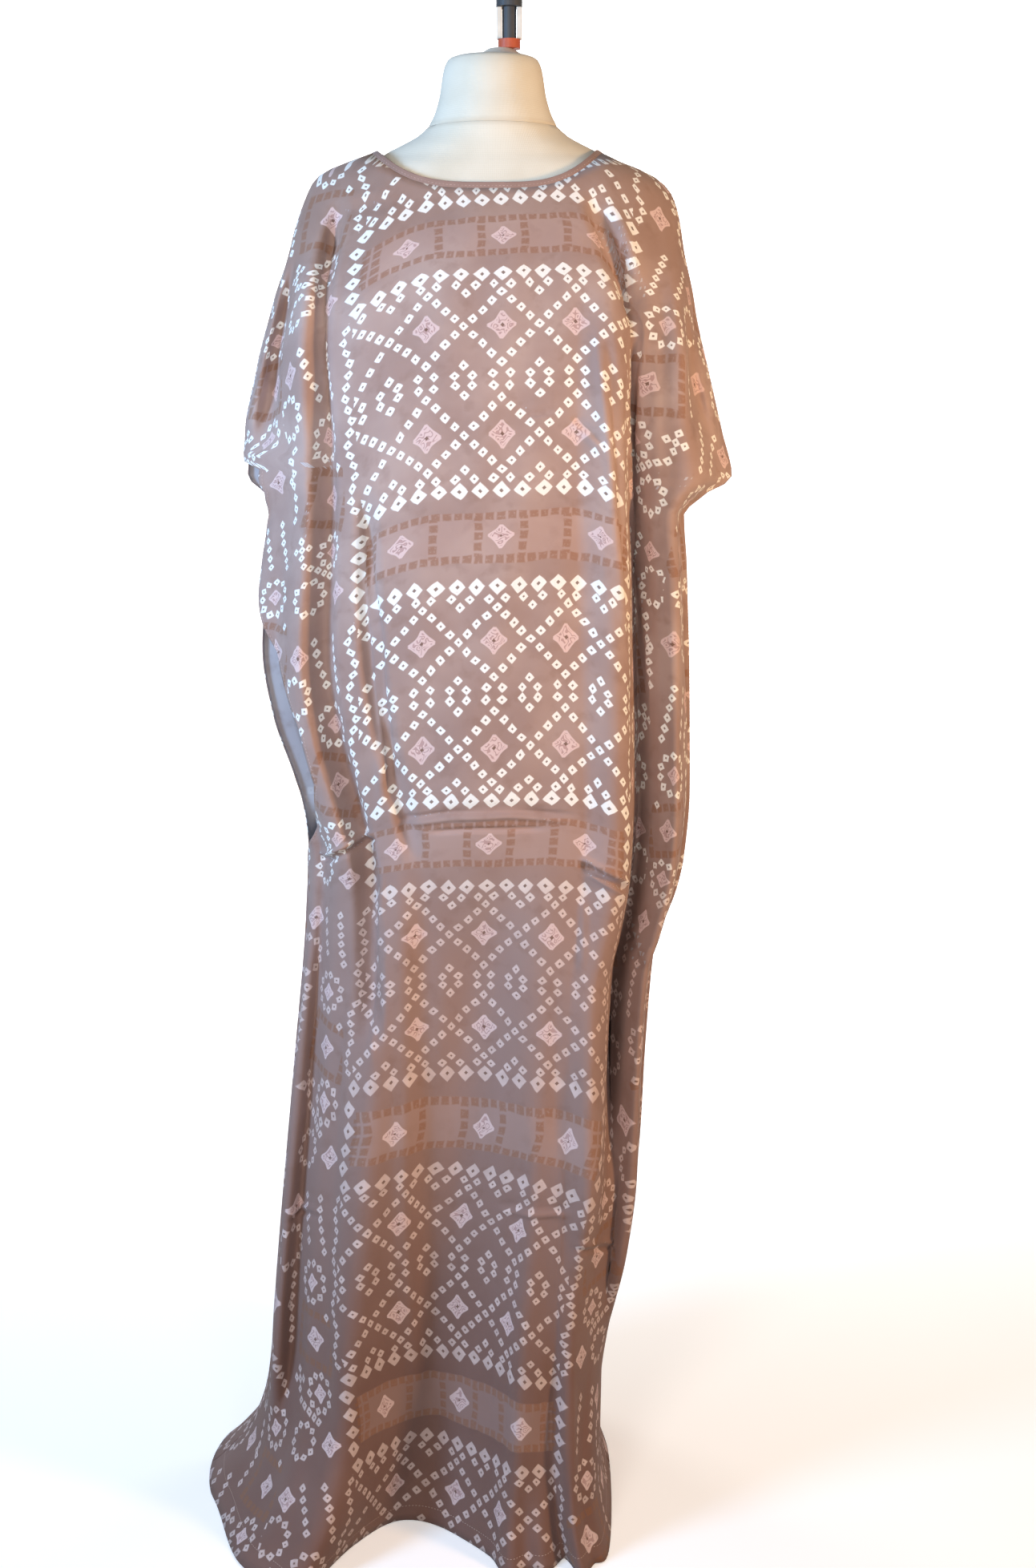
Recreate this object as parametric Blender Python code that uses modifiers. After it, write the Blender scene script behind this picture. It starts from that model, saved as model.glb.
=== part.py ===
"""A baati dress on a limbless dress form.

Run it with: blender --background --python part.py
Lengths in the tables are millimetres, Blender's own are metres, and Z is up. The origin lies on the
floor, under the pole. The dress faces -Y and its wearer's right side is at -X.
"""

from collections import namedtuple

import bmesh
import bpy
import numpy as np

MM = 0.001

# Driving sizes of the cloth
CLOTH_WALL = 1.5 * MM
SEAM_GAP = 0.7 * MM
HEM_HEIGHT = 0.6 * MM
NECK_POINT_HEIGHT = 1491 * MM
FRONT_NECK_DROP = 41 * MM
BACK_NECK_DROP = 8 * MM
NECK_SCOOP_POWER = 3.4
BINDING_WIDTH = 5 * MM
BINDING_WALL = 1.5 * MM
BINDING_GAP = 1.0 * MM
CLEAR_OF_FORM = 1.1 * MM
LIFT_OFF_FORM = 0.4 * MM
CLEAR_BELOW_FORM = 10 * MM

# Driving sizes of the dress form and its stand
FORM_BOTTOM = 800 * MM
NECK_TOP = 1588 * MM
FORM_GAP = 0.3 * MM
FORM_SEGMENTS = 32
POLE_RADIUS = 14 * MM
CHEEK_WIDTH = 5.4 * MM
CHEEK_DEPTH = 12 * MM
EASED_EDGE = 0.8 * MM
SHARP_ANGLE = 40

Section = namedtuple("Section", "height left right front back square")
Flare = namedtuple("Flare", "height left right")
RowBand = namedtuple("RowBand", "name ends rows")
EdgeRow = namedtuple("EdgeRow", "height front_left front_right back_left back_right")
Fold = namedtuple("Fold", "name top bottom place_top place_low sideways depth_top depth_low spread fade")
Turned = namedtuple("Turned", "name tall radius_low radius_high shift segments slot")

# Columns of quads across each panel
FRONT_COLUMNS = 50
BACK_COLUMNS = 38

# Lowest height, highest height and number of the rows that the columns are spaced by
SPACING_HEIGHTS = (150, 1350, 9)

# The dress, one row for each height: how far it reaches to each side, to the front and to the back
DRESS_SECTIONS = [
    Section(1506, 92, 84, 58, 53, 2.1),
    Section(1491, 125, 112, 62, 57, 2.1),
    Section(1484, 146, 128, 65, 61, 2.1),
    Section(1476, 166, 150, 68, 65, 2.1),
    Section(1464, 182, 173, 73, 71, 2.2),
    Section(1452, 189, 184, 78, 77, 2.2),
    Section(1438, 195, 190, 84, 84, 2.2),
    Section(1405, 207, 197, 101, 98, 2.2),
    Section(1340, 224, 204, 127, 112, 2.2),
    Section(1274, 230, 203, 144, 116, 2.2),
    Section(1207, 230, 200, 149, 116, 2.2),
    Section(1160, 234, 201, 150, 117, 2.2),
    Section(1142, 235, 201, 150, 117, 2.2),
    Section(1126, 237, 201, 150, 118, 2.2),
    Section(1070, 246, 205, 150, 120, 2.2),
    Section(966, 258, 209, 151, 126, 2.2),
    Section(895, 248, 211, 152, 130, 2.2),
    Section(823, 225, 212, 153, 134, 2.2),
    Section(750, 206, 207, 154, 138, 2.2),
    Section(676, 210, 189, 156, 142, 2.2),
    Section(639, 213, 177, 157, 144, 2.2),
    Section(526, 225, 169, 163, 150, 2.2),
    Section(410, 237, 164, 170, 156, 2.2),
    Section(252, 253, 142, 181, 166, 2.2),
    Section(131, 264, 122, 192, 176, 2.2),
    Section(60, 284, 121, 204, 188, 2.2),
    Section(12, 324, 129, 222, 206, 2.2),
    Section(0, 338, 134, 228, 214, 2.2),
]

# How much further out than the body beside them the sleeves reach
SLEEVE_FLARES = [
    Flare(1438, 0, 0),
    Flare(1405, 0, 0),
    Flare(1340, 7, 7),
    Flare(1274, 20, 23),
    Flare(1207, 34, 43),
    Flare(1160, 35, 53),
    Flare(1142, 17, 25),
    Flare(1126, 0, 0),
]

# How far out on a panel the sleeves' flare begins
FLARE_START = 0.5

# The dress form's torso, in the same columns
TORSO_SECTIONS = [
    Section(1518, 68, 68, 55, 50, 2.0),
    Section(1510, 76, 76, 55, 50, 2.0),
    Section(1502, 90, 90, 56, 51, 2.0),
    Section(1494, 107, 107, 58, 53, 2.0),
    Section(1486, 121, 121, 60, 56, 2.0),
    Section(1478, 143, 143, 63, 60, 2.1),
    Section(1466, 164, 164, 67, 66, 2.2),
    Section(1454, 174, 174, 72, 71, 2.2),
    Section(1436, 178, 178, 79, 78, 2.2),
    Section(1400, 174, 174, 94, 88, 2.2),
    Section(1340, 164, 164, 116, 97, 2.2),
    Section(1280, 156, 156, 132, 98, 2.2),
    Section(1240, 150, 150, 134, 95, 2.2),
    Section(1180, 138, 138, 120, 89, 2.2),
    Section(1100, 124, 124, 100, 82, 2.2),
    Section(1050, 120, 120, 95, 82, 2.2),
    Section(980, 132, 132, 98, 90, 2.2),
    Section(900, 146, 146, 103, 97, 2.2),
    Section(840, 148, 148, 102, 98, 2.2),
    Section(800, 144, 144, 98, 94, 2.2),
]

# The neck of the form above its seam, in the same columns
NECK_SECTIONS = [
    Section(1588, 20, 20, 18, 18, 2.0),
    Section(1587, 40, 40, 36, 36, 2.0),
    Section(1583, 47, 47, 43, 43, 2.0),
    Section(1573, 51, 51, 47, 47, 2.0),
    Section(1549, 55, 55, 50, 48, 2.0),
    Section(1532, 60, 60, 53, 49, 2.0),
    Section(1518, 67, 67, 54, 49, 2.0),
]

# Rows of both panels, in bands from neck edge to hem. A band ends at a share of the way down.
ROW_BANDS = [
    RowBand("neck edge", 0.006, 1),
    RowBand("shoulder", 0.050, 5),
    RowBand("yoke", 0.205, 6),
    RowBand("sleeve hem", 0.245, 4),
    RowBand("body", 0.700, 8),
    RowBand("skirt", 0.920, 4),
    RowBand("floor", 1.000, 4),
]

# How far out on a panel its columns begin to follow a trimmed side edge
TRIM_START = 0.3

# Where the panels' free side edges lie at each height, as shares of the way from the middle to the side.
# An edge at 1 meets its neighbour: at the shoulder above the armhole, and in the side seam below it.
SIDE_EDGES = [
    EdgeRow(1500, 1.00, 1.00, 1.00, 1.00),
    EdgeRow(1182, 1.00, 1.00, 1.00, 1.00),
    EdgeRow(1170, 0.78, 1.00, 1.00, 1.00),
    EdgeRow(1145, 0.79, 0.88, 1.00, 1.00),
    EdgeRow(1120, 0.92, 0.96, 1.00, 1.00),
    EdgeRow(1100, 1.00, 1.00, 1.00, 1.00),
    EdgeRow(1050, 0.96, 1.00, 1.00, 1.00),
    EdgeRow(980, 0.66, 1.00, 1.00, 1.00),
    EdgeRow(900, 0.57, 1.00, 1.00, 1.00),
    EdgeRow(845, 0.57, 1.00, 1.00, 1.00),
    EdgeRow(790, 0.66, 1.00, 1.00, 1.00),
    EdgeRow(735, 1.00, 1.00, 1.00, 1.00),
    EdgeRow(0, 1.00, 1.00, 1.00, 1.00),
]

# Folds of the front. A place is -1 at the left side, 0 at the middle and 1 at the right side.
# Sideways is towards the right side. A depth is into the dress when positive, out of it when negative.
FRONT_FOLDS = [
    Fold("middle valley", 860, 0, -0.03, -0.17, 0, 6, 86, 0.30, 200),
    Fold("hem notch", 240, 0, -0.17, -0.17, 0, 0, 24, 0.13, 160),
    Fold("left low ridge", 800, 0, -0.38, -0.42, 0, -8, -16, 0.12, 160),
    Fold("right low ridge", 760, 0, 0.30, 0.47, 0, -6, -24, 0.12, 160),
    Fold("right shoulder drape", 1450, 1310, 0.34, 0.50, -6, 8, 34, 0.075, 40),
    Fold("right body edge", 1400, 300, 0.37, 0.41, 5, -14, -20, 0.11, 120),
    Fold("right body valley", 1380, 380, 0.50, 0.54, -5, 40, 70, 0.09, 200),
    Fold("right side roll", 1400, 200, 0.71, 0.73, 0, -28, -46, 0.14, 120),
    Fold("right sleeve valley", 1370, 1180, 0.74, 0.80, 0, 14, 30, 0.08, 70),
    Fold("right seam fold", 1060, 180, 0.90, 0.90, -22, 0, 0, 0.07, 80),
    Fold("right hem lobe", 260, 0, 0.62, 0.70, 0, -20, -84, 0.34, 200),
    Fold("left hem lobe", 200, 0, -0.52, -0.50, 0, -10, -70, 0.30, 160),
    Fold("left chest valley", 1444, 560, -0.56, -0.40, 6, 26, 24, 0.07, 60),
    Fold("left chest roll", 1400, 700, -0.57, -0.55, 0, -12, -14, 0.12, 90),
    Fold("left sleeve edge", 1400, 1180, -0.58, -0.60, 0, -10, -12, 0.13, 80),
    Fold("left sleeve valley", 1400, 1180, -0.74, -0.78, 0, 24, 38, 0.09, 70),
    Fold("left side valley", 1120, 60, -0.66, -0.66, 0, 12, 20, 0.10, 160),
    Fold("left inner pleat", 1160, 760, -0.36, -0.25, 0, 13, 11, 0.045, 60),
    Fold("left side roll", 720, 60, -0.80, -0.78, 0, -16, -34, 0.13, 120),
    Fold("left seam fold", 740, 120, -0.91, -0.91, 24, 0, 0, 0.07, 80),
    Fold("left armhole edge", 1190, 752, -1.0, -1.0, 0, -26, -20, 0.30, 60),
    Fold("right armhole edge", 1176, 654, 1.0, 1.0, 0, -26, -24, 0.24, 60),
]

# Folds of the back, in the same columns. A place runs from the left side to the right side as well.
BACK_FOLDS = [
    Fold("middle valley", 1330, 0, 0.02, 0.08, 0, 12, 74, 0.15, 260),
    Fold("left blade fold", 1400, 0, -0.31, -0.34, 0, 14, 64, 0.12, 240),
    Fold("right blade fold", 1410, 0, 0.34, 0.38, 0, 14, 44, 0.13, 240),
    Fold("left ridge", 1200, 0, -0.15, -0.14, 0, -8, -18, 0.11, 240),
    Fold("right ridge", 1200, 0, 0.20, 0.24, 0, -8, -18, 0.11, 240),
    Fold("left under sleeve", 1410, 40, -0.58, -0.56, 8, 40, 82, 0.11, 90),
    Fold("right under sleeve", 1410, 40, 0.60, 0.60, -8, 40, 76, 0.11, 90),
    Fold("left side roll", 1350, 40, -0.77, -0.77, 0, -22, -30, 0.11, 120),
    Fold("right side roll", 1350, 40, 0.79, 0.79, 0, -22, -28, 0.11, 120),
    Fold("left armhole edge", 1176, 752, -1.0, -1.0, 0, -26, -22, 0.24, 60),
    Fold("right armhole edge", 1176, 654, 1.0, 1.0, 0, -24, -22, 0.24, 60),
]

# The stand's round pieces under the pole, from the floor up, and those on top of the neck
FOOT_PIECES = [
    Turned("stand_base", 16, 112, 107, 0, 48, "black_iron"),
    Turned("pole_socket", 34, 22, 22, 0, 32, "black_iron"),
]
TOP_PIECES = [
    Turned("neck_cap", 7, 25, 13, 8, 32, "white_plastic"),
    Turned("pole_collar", 9, 11.5, 11.5, 17, 32, "orange_plastic"),
    Turned("pole_end", 31, 7.2, 7.2, 17, 24, "grey_plastic"),
    Turned("pole_finial", 22, 13.5, 13.5, 17, 32, "grey_plastic"),
]

# Where the cloth meets the floor it ripples: waves round each panel and their reach
FLOOR_RIPPLE_TOP = 110 * MM
FLOOR_RIPPLE_WAVES = 9
FLOOR_RIPPLE_REACH = 7 * MM


def through(rows, column, height):
    """Reads a table's column at any height, on a smooth curve that never overshoots its rows."""
    table = sorted((row.height * MM, getattr(row, column)) for row in rows)
    at = np.array([pair[0] for pair in table])
    value = np.array([pair[1] for pair in table], float)
    step = np.diff(at)
    slope = np.diff(value) / step
    both = slope[:-1] * slope[1:]
    middle = np.where(both > 0, 2 * both / np.where(both > 0, slope[:-1] + slope[1:], 1), 0)
    tangent = np.concatenate([slope[:1], middle, slope[-1:]])
    place = np.clip(height, at[0], at[-1])
    k = np.clip(np.searchsorted(at, place) - 1, 0, len(step) - 1)
    t = (place - at[k]) / step[k]
    return (
        (2 * t**3 - 3 * t**2 + 1) * value[k]
        + (t**3 - 2 * t**2 + t) * step[k] * tangent[k]
        + (3 * t**2 - 2 * t**3) * value[k + 1]
        + (t**3 - t**2) * step[k] * tangent[k + 1]
    )


def ramp(share):
    """Rises smoothly from 0 to 1 as share goes from 0 to 1."""
    t = np.clip(share, 0, 1)
    return t * t * (3 - 2 * t)


def rounded_section(rows, place, height, side):
    """A point of a rounded outline. Place runs -1, 0, 1 from left to right, and side is -1 in front."""
    turn = place * np.pi / 2
    square = through(rows, "square", height)
    corner = (np.abs(np.cos(turn)) ** square + np.abs(np.sin(turn)) ** square) ** (-1 / square)
    width = np.where(place < 0, through(rows, "left", height), through(rows, "right", height))
    depth = through(rows, "front" if side < 0 else "back", height)
    return width * MM * np.sin(turn) * corner, side * depth * MM * np.cos(turn) * corner


def sleeve_flare(place, height):
    """How far the sleeves carry a point sideways. Only the outer part of a panel follows them."""
    reach = np.where(
        place < 0, through(SLEEVE_FLARES, "left", height), through(SLEEVE_FLARES, "right", height)
    )
    share = ramp((np.abs(place) - FLARE_START) / (1 - FLARE_START))
    return np.sign(place) * reach * MM * share


def fold_window(fold, height):
    """1 along the fold's run and 0 past its ends. A fold that reaches the floor stays open there."""
    below_top = ramp((fold.top * MM - height) / (fold.fade * MM))
    if fold.bottom == 0:
        return below_top
    return below_top * ramp((height - fold.bottom * MM) / (fold.fade * MM))


def fold_shift(folds, place, height):
    """How far the folds move a point, sideways and into the dress, in metres."""
    sideways, inward = np.zeros_like(height), np.zeros_like(height)
    for fold in folds:
        down = np.clip((fold.top * MM - height) / ((fold.top - fold.bottom) * MM), 0, 1)
        middle = fold.place_top + (fold.place_low - fold.place_top) * down
        depth = fold.depth_top + (fold.depth_low - fold.depth_top) * down
        near = np.clip(np.abs(place - middle) / fold.spread, 0, 1)
        share = np.cos(near * np.pi / 2) ** 2 * fold_window(fold, height)
        sideways += fold.sideways * MM * share
        inward += depth * MM * share
    return sideways, inward


def clear_of_torso(x, y, height):
    """Moves a point level, out of the form as it would be if it were a little wider and higher."""
    inside = height > FORM_BOTTOM - CLEAR_BELOW_FORM
    level = np.clip(height - LIFT_OFF_FORM, FORM_BOTTOM, None)
    square = through(TORSO_SECTIONS, "square", level)
    width = through(TORSO_SECTIONS, "left", level) * MM + CLEAR_OF_FORM
    front = through(TORSO_SECTIONS, "front", level) * MM + CLEAR_OF_FORM
    back = through(TORSO_SECTIONS, "back", level) * MM + CLEAR_OF_FORM
    depth = np.where(y < 0, front, back)
    reach = (np.abs(x / width) ** square + np.abs(y / depth) ** square) ** (1 / square)
    grow = np.where(inside & (reach < 1), 1 / np.maximum(reach, 0.05), 1.0)
    return x * grow, y * grow


def dress_point(place, height, side):
    """A point of the dress's front (side -1) or back (side 1), at a place and a height."""
    x, y = rounded_section(DRESS_SECTIONS, place, height, side)
    sideways, inward = fold_shift(FRONT_FOLDS if side < 0 else BACK_FOLDS, place, height)
    low = ramp(1 - height / FLOOR_RIPPLE_TOP)
    fade_at_seam = np.cos(place * np.pi / 2)
    ripple = FLOOR_RIPPLE_REACH * low * fade_at_seam * np.sin(place * np.pi * FLOOR_RIPPLE_WAVES)
    x = x + sideways + sleeve_flare(place, height)
    y = y - side * inward + side * ripple
    x, y = clear_of_torso(x, y, height)
    return x, y + side * SEAM_GAP / 2, height


def edge_trimmed(place, height, side):
    """Draws a row's outer places inwards, so that its ends lie on the panel's side edges."""
    rows = SIDE_EDGES[::-1]
    levels = [row.height * MM for row in rows]
    left = [row.front_left if side < 0 else row.back_left for row in rows]
    right = [row.front_right if side < 0 else row.back_right for row in rows]
    edge = np.where(place < 0, np.interp(height, levels, left), np.interp(height, levels, right))
    return place * (1 - (1 - edge) * ramp((np.abs(place) - TRIM_START) / (1 - TRIM_START)))


def neckline_height(place, side):
    """The height where a place meets the neck edge, a scoop with height as a power of the distance."""
    drop = FRONT_NECK_DROP if side < 0 else BACK_NECK_DROP
    reach, _ = rounded_section(DRESS_SECTIONS, np.sign(place), NECK_POINT_HEIGHT, side)
    low = np.full_like(place, NECK_POINT_HEIGHT - drop)
    high = np.full_like(place, NECK_POINT_HEIGHT)
    for _ in range(30):
        middle = (low + high) / 2
        x, _ = rounded_section(DRESS_SECTIONS, place, middle, side)
        share = np.clip(np.abs(x / np.where(reach == 0, 1, reach)), 0, 1) ** NECK_SCOOP_POWER
        above = middle > NECK_POINT_HEIGHT - drop * (1 - share)
        low, high = np.where(above, low, middle), np.where(above, middle, high)
    return (low + high) / 2


def even_places(count, side):
    """Places across a panel, spaced evenly by the cloth's own length, averaged over a few heights."""
    fine = np.linspace(-1, 1, 801)
    travelled = np.zeros_like(fine)
    for height in np.linspace(*SPACING_HEIGHTS) * MM:
        x, y, _ = dress_point(fine, np.full_like(fine, height), side)
        step = np.hypot(np.diff(x), np.diff(y))
        travelled[1:] += np.cumsum(step) / step.sum()
    return np.interp(np.linspace(0, 1, count), travelled / travelled[-1], fine)


def row_shares():
    """Shares of the way from neck edge to hem, one for each row line of the bands."""
    shares = [np.zeros(1)]
    start = 0.0
    for band in ROW_BANDS:
        shares.append(np.linspace(start, band.ends, band.rows + 1)[1:])
        start = band.ends
    return np.concatenate(shares)


def panel_grid(columns, side):
    """The points of a panel, one row of places for each share of the way down."""
    place, share = np.meshgrid(even_places(columns + 1, side), row_shares())
    top = neckline_height(place, side)
    height = top + (HEM_HEIGHT - top) * share
    x, y, z = dress_point(edge_trimmed(place, height, side), height, side)
    return np.stack([x, y, z], axis=-1)


def mesh_object(name, bm, collection, material):
    """Puts a bmesh into a new object of that name."""
    mesh = bpy.data.meshes.new(name)
    bm.to_mesh(mesh)
    bm.free()
    made = bpy.data.objects.new(name, mesh)
    mesh.materials.append(material)
    collection.objects.link(made)
    return made


def add_panel(name, columns, side, collection, material):
    """A cloth panel: a flat grid, laid over the dress's form, with a wall made by Solidify."""
    points = panel_grid(columns, side)
    rows = len(points) - 1
    bm = bmesh.new()
    bmesh.ops.create_grid(bm, x_segments=columns, y_segments=rows, size=0.5)
    for vertex in bm.verts:
        column = round((vertex.co.x + 0.5) * columns)
        row = round((0.5 - vertex.co.y) * rows)
        vertex.co = points[row, column]
    if side > 0:
        bmesh.ops.reverse_faces(bm, faces=bm.faces)
    made = mesh_object(name, bm, collection, material)
    wall = made.modifiers.new("wall", "SOLIDIFY")
    wall.thickness = CLOTH_WALL
    wall.offset = 1
    wall.use_quality_normals = True
    made.data.shade_smooth()
    return made


def neck_ring(place, side, level_step):
    """The neck edge of one panel, and the level direction up its surface from each point of it."""
    level = neckline_height(place, side)
    edge = np.stack(dress_point(place, level, side), axis=-1)
    above = np.stack(dress_point(place, level + level_step, side), axis=-1)
    return edge, above - edge


def add_neck_binding(collection, material):
    """The binding: a flat strip that carries the panels' surface on past the neck edge, as one ring."""
    front_edge, front_up = neck_ring(even_places(FRONT_COLUMNS + 1, -1), -1, BINDING_WIDTH / 2)
    back_edge, back_up = neck_ring(even_places(BACK_COLUMNS + 1, 1), 1, BINDING_WIDTH / 2)
    front_edge[[0, -1], 1] = 0
    front_up[[0, -1], 1] = 0
    edge = np.concatenate([front_edge, back_edge[-2:0:-1]])
    up = np.concatenate([front_up, back_up[-2:0:-1]])
    along = np.roll(edge, -1, axis=0) - np.roll(edge, 1, axis=0)
    along /= np.linalg.norm(along, axis=1)[:, None]
    up -= along * (up * along).sum(axis=1)[:, None]
    up /= np.linalg.norm(up, axis=1)[:, None]
    outward = np.cross(along, up) * BINDING_WALL
    lower = edge + up * BINDING_GAP
    upper = lower + up * BINDING_WIDTH
    bm = bmesh.new()
    loops = [[bm.verts.new(p) for p in ring] for ring in (lower, lower + outward, upper + outward, upper)]
    count = len(edge)
    for k in range(4):
        near, far = loops[k], loops[(k + 1) % 4]
        for i in range(count):
            j = (i + 1) % count
            bm.faces.new([near[i], near[j], far[j], far[i]])
    bmesh.ops.recalc_face_normals(bm, faces=bm.faces)
    return mesh_object("neck_binding", bm, collection, material)


def add_loft(name, rows, levels, segments, collection, material):
    """A solid through a table's rounded sections at the given heights, with a flat face at each end."""
    bm = bmesh.new()
    turn = np.linspace(-1, 3, segments, endpoint=False)
    place = np.where(turn <= 1, turn, 2 - turn)
    rings = []
    for level in levels:
        height = np.full(segments, level)
        front = rounded_section(rows, place, height, -1)
        back = rounded_section(rows, place, height, 1)
        x = np.where(turn <= 1, front[0], back[0])
        y = np.where(turn <= 1, front[1], back[1])
        rings.append([bm.verts.new(point) for point in zip(x, y, height)])
    for low, high in zip(rings, rings[1:]):
        for i in range(segments):
            j = (i + 1) % segments
            bm.faces.new([low[i], low[j], high[j], high[i]])
    bm.faces.new(rings[0])
    bm.faces.new(rings[-1])
    bmesh.ops.recalc_face_normals(bm, faces=bm.faces)
    made = mesh_object(name, bm, collection, material)
    made.data.shade_smooth()
    made.data.set_sharp_from_angle(angle=np.radians(SHARP_ANGLE))
    return made


def add_turned(piece, low, collection, materials):
    """A round piece that stands at a height, from a cylinder or cone primitive. Returns its top."""
    tall = piece.tall * MM
    bm = bmesh.new()
    bmesh.ops.create_cone(
        bm,
        cap_ends=True,
        segments=piece.segments,
        radius1=piece.radius_low * MM,
        radius2=piece.radius_high * MM,
        depth=tall,
    )
    made = mesh_object(piece.name, bm, collection, materials[piece.slot])
    made.location = (piece.shift * MM, 0, low + tall / 2)
    made.data.shade_smooth()
    made.data.set_sharp_from_angle(angle=np.radians(SHARP_ANGLE))
    return low + tall


def add_block(name, centre, size, collection, material):
    """A plain box with its edges eased by Bevel."""
    bm = bmesh.new()
    bmesh.ops.create_cube(bm, size=1)
    bmesh.ops.scale(bm, vec=size, verts=bm.verts)
    made = mesh_object(name, bm, collection, material)
    made.location = centre
    eased = made.modifiers.new("eased edges", "BEVEL")
    eased.width = EASED_EDGE
    eased.segments = 2
    return made


def add_material(name, colour, roughness, metallic=0.0):
    """A plain Principled material of that colour."""
    made = bpy.data.materials.new(name)
    made.use_nodes = True
    shader = made.node_tree.nodes["Principled BSDF"]
    shader.inputs["Base Color"].default_value = (*colour, 1)
    shader.inputs["Roughness"].default_value = roughness
    shader.inputs["Metallic"].default_value = metallic
    return made


def add_dress(collection):
    """The cloth: front, back and the binding of the neck."""
    cloth = add_material("printed_cotton", (0.42, 0.27, 0.24), 0.75)
    binding = add_material("binding_cotton", (0.36, 0.24, 0.22), 0.8)
    add_panel("front_panel", FRONT_COLUMNS, -1, collection, cloth)
    add_panel("back_panel", BACK_COLUMNS, 1, collection, cloth)
    add_neck_binding(collection, binding)


def add_form(collection):
    """The limbless dress form: torso and neck, each a closed solid."""
    jersey = add_material("cream_jersey", (0.80, 0.76, 0.66), 0.85)
    torso_levels = np.array([row.height for row in reversed(TORSO_SECTIONS)]) * MM
    torso_levels[-1] -= FORM_GAP
    neck_levels = np.array([row.height for row in reversed(NECK_SECTIONS)]) * MM
    add_loft("form_torso", TORSO_SECTIONS, torso_levels, FORM_SEGMENTS, collection, jersey)
    add_loft("form_neck", NECK_SECTIONS, neck_levels, FORM_SEGMENTS, collection, jersey)


def add_stand(collection):
    """The pole with its foot, hidden under the skirt, and the pole's end that stands out of the neck."""
    materials = {
        "black_iron": add_material("black_iron", (0.05, 0.05, 0.055), 0.45, 0.6),
        "pole_steel": add_material("pole_steel", (0.55, 0.55, 0.56), 0.3, 1.0),
        "white_plastic": add_material("white_plastic", (0.82, 0.80, 0.76), 0.4),
        "grey_plastic": add_material("grey_plastic", (0.09, 0.10, 0.115), 0.45),
        "orange_plastic": add_material("orange_plastic", (0.55, 0.13, 0.06), 0.45),
    }
    level = 0.0
    for piece in FOOT_PIECES:
        level = add_turned(piece, level, collection, materials) + FORM_GAP
    pole_tall = (FORM_BOTTOM - FORM_GAP - level) / MM
    pole_radius = POLE_RADIUS / MM
    pole = Turned("stand_pole", pole_tall, pole_radius, pole_radius, 0, FORM_SEGMENTS, "pole_steel")
    add_turned(pole, level, collection, materials)

    level = NECK_TOP + FORM_GAP
    for piece in TOP_PIECES:
        if piece.name == "pole_end":
            add_cheeks(piece, level, collection, materials["white_plastic"])
        level = add_turned(piece, level, collection, materials) + FORM_GAP


def add_cheeks(post, low, collection, material):
    """The two pale cheeks that clasp the pole's end, as tall as it is."""
    tall = post.tall * MM
    off_axis = post.radius_low * MM + FORM_GAP + CHEEK_WIDTH / 2
    for name, side in (("left_cheek", -1), ("right_cheek", 1)):
        centre = (post.shift * MM + side * off_axis, 0, low + tall / 2)
        add_block(name, centre, (CHEEK_WIDTH, CHEEK_DEPTH, tall), collection, material)


def main():
    """Clears the scene and builds the dress on its form."""
    for old in list(bpy.data.objects):
        bpy.data.objects.remove(old)
    collection = bpy.data.collections.new("baati_dress_on_form")
    bpy.context.scene.collection.children.link(collection)
    add_dress(collection)
    add_form(collection)
    add_stand(collection)


main()
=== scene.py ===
# %% [markdown]
# # A baati dress on a limbless dress form
# A baati is a loose dress of two wide rectangles of thin printed cotton. They are joined along the
# shoulders and in the lower part of the sides, and the open sides above the seams are the armholes.
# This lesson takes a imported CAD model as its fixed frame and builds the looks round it. Each shape is
# worked out as whole numpy arrays, and each finish is a tree of shader nodes written as Python sums.

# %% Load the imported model
from collections import namedtuple
import bpy
import numpy as np
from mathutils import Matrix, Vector


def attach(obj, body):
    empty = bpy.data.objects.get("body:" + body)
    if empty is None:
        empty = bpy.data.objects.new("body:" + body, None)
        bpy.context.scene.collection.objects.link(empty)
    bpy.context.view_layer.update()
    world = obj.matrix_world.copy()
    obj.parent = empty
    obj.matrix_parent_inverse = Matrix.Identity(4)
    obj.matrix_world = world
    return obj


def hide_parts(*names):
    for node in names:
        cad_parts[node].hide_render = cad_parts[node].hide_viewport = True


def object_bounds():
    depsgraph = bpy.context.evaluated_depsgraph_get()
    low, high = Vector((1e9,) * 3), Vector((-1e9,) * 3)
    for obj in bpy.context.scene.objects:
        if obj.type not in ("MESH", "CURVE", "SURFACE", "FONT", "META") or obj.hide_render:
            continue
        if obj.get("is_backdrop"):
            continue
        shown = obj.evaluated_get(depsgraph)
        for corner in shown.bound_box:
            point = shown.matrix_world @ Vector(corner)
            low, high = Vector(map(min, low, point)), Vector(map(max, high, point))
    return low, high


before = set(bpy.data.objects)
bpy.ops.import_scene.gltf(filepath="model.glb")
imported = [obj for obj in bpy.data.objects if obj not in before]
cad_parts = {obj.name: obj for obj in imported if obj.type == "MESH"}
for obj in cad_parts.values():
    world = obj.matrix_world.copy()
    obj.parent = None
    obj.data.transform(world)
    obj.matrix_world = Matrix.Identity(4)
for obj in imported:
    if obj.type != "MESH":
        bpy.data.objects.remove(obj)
cad_box = [list(corner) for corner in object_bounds()]
MM = 0.001
print("nodes in the frame:", len(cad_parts), "box", [[round(x, 3) for x in c] for c in cad_box])
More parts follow.
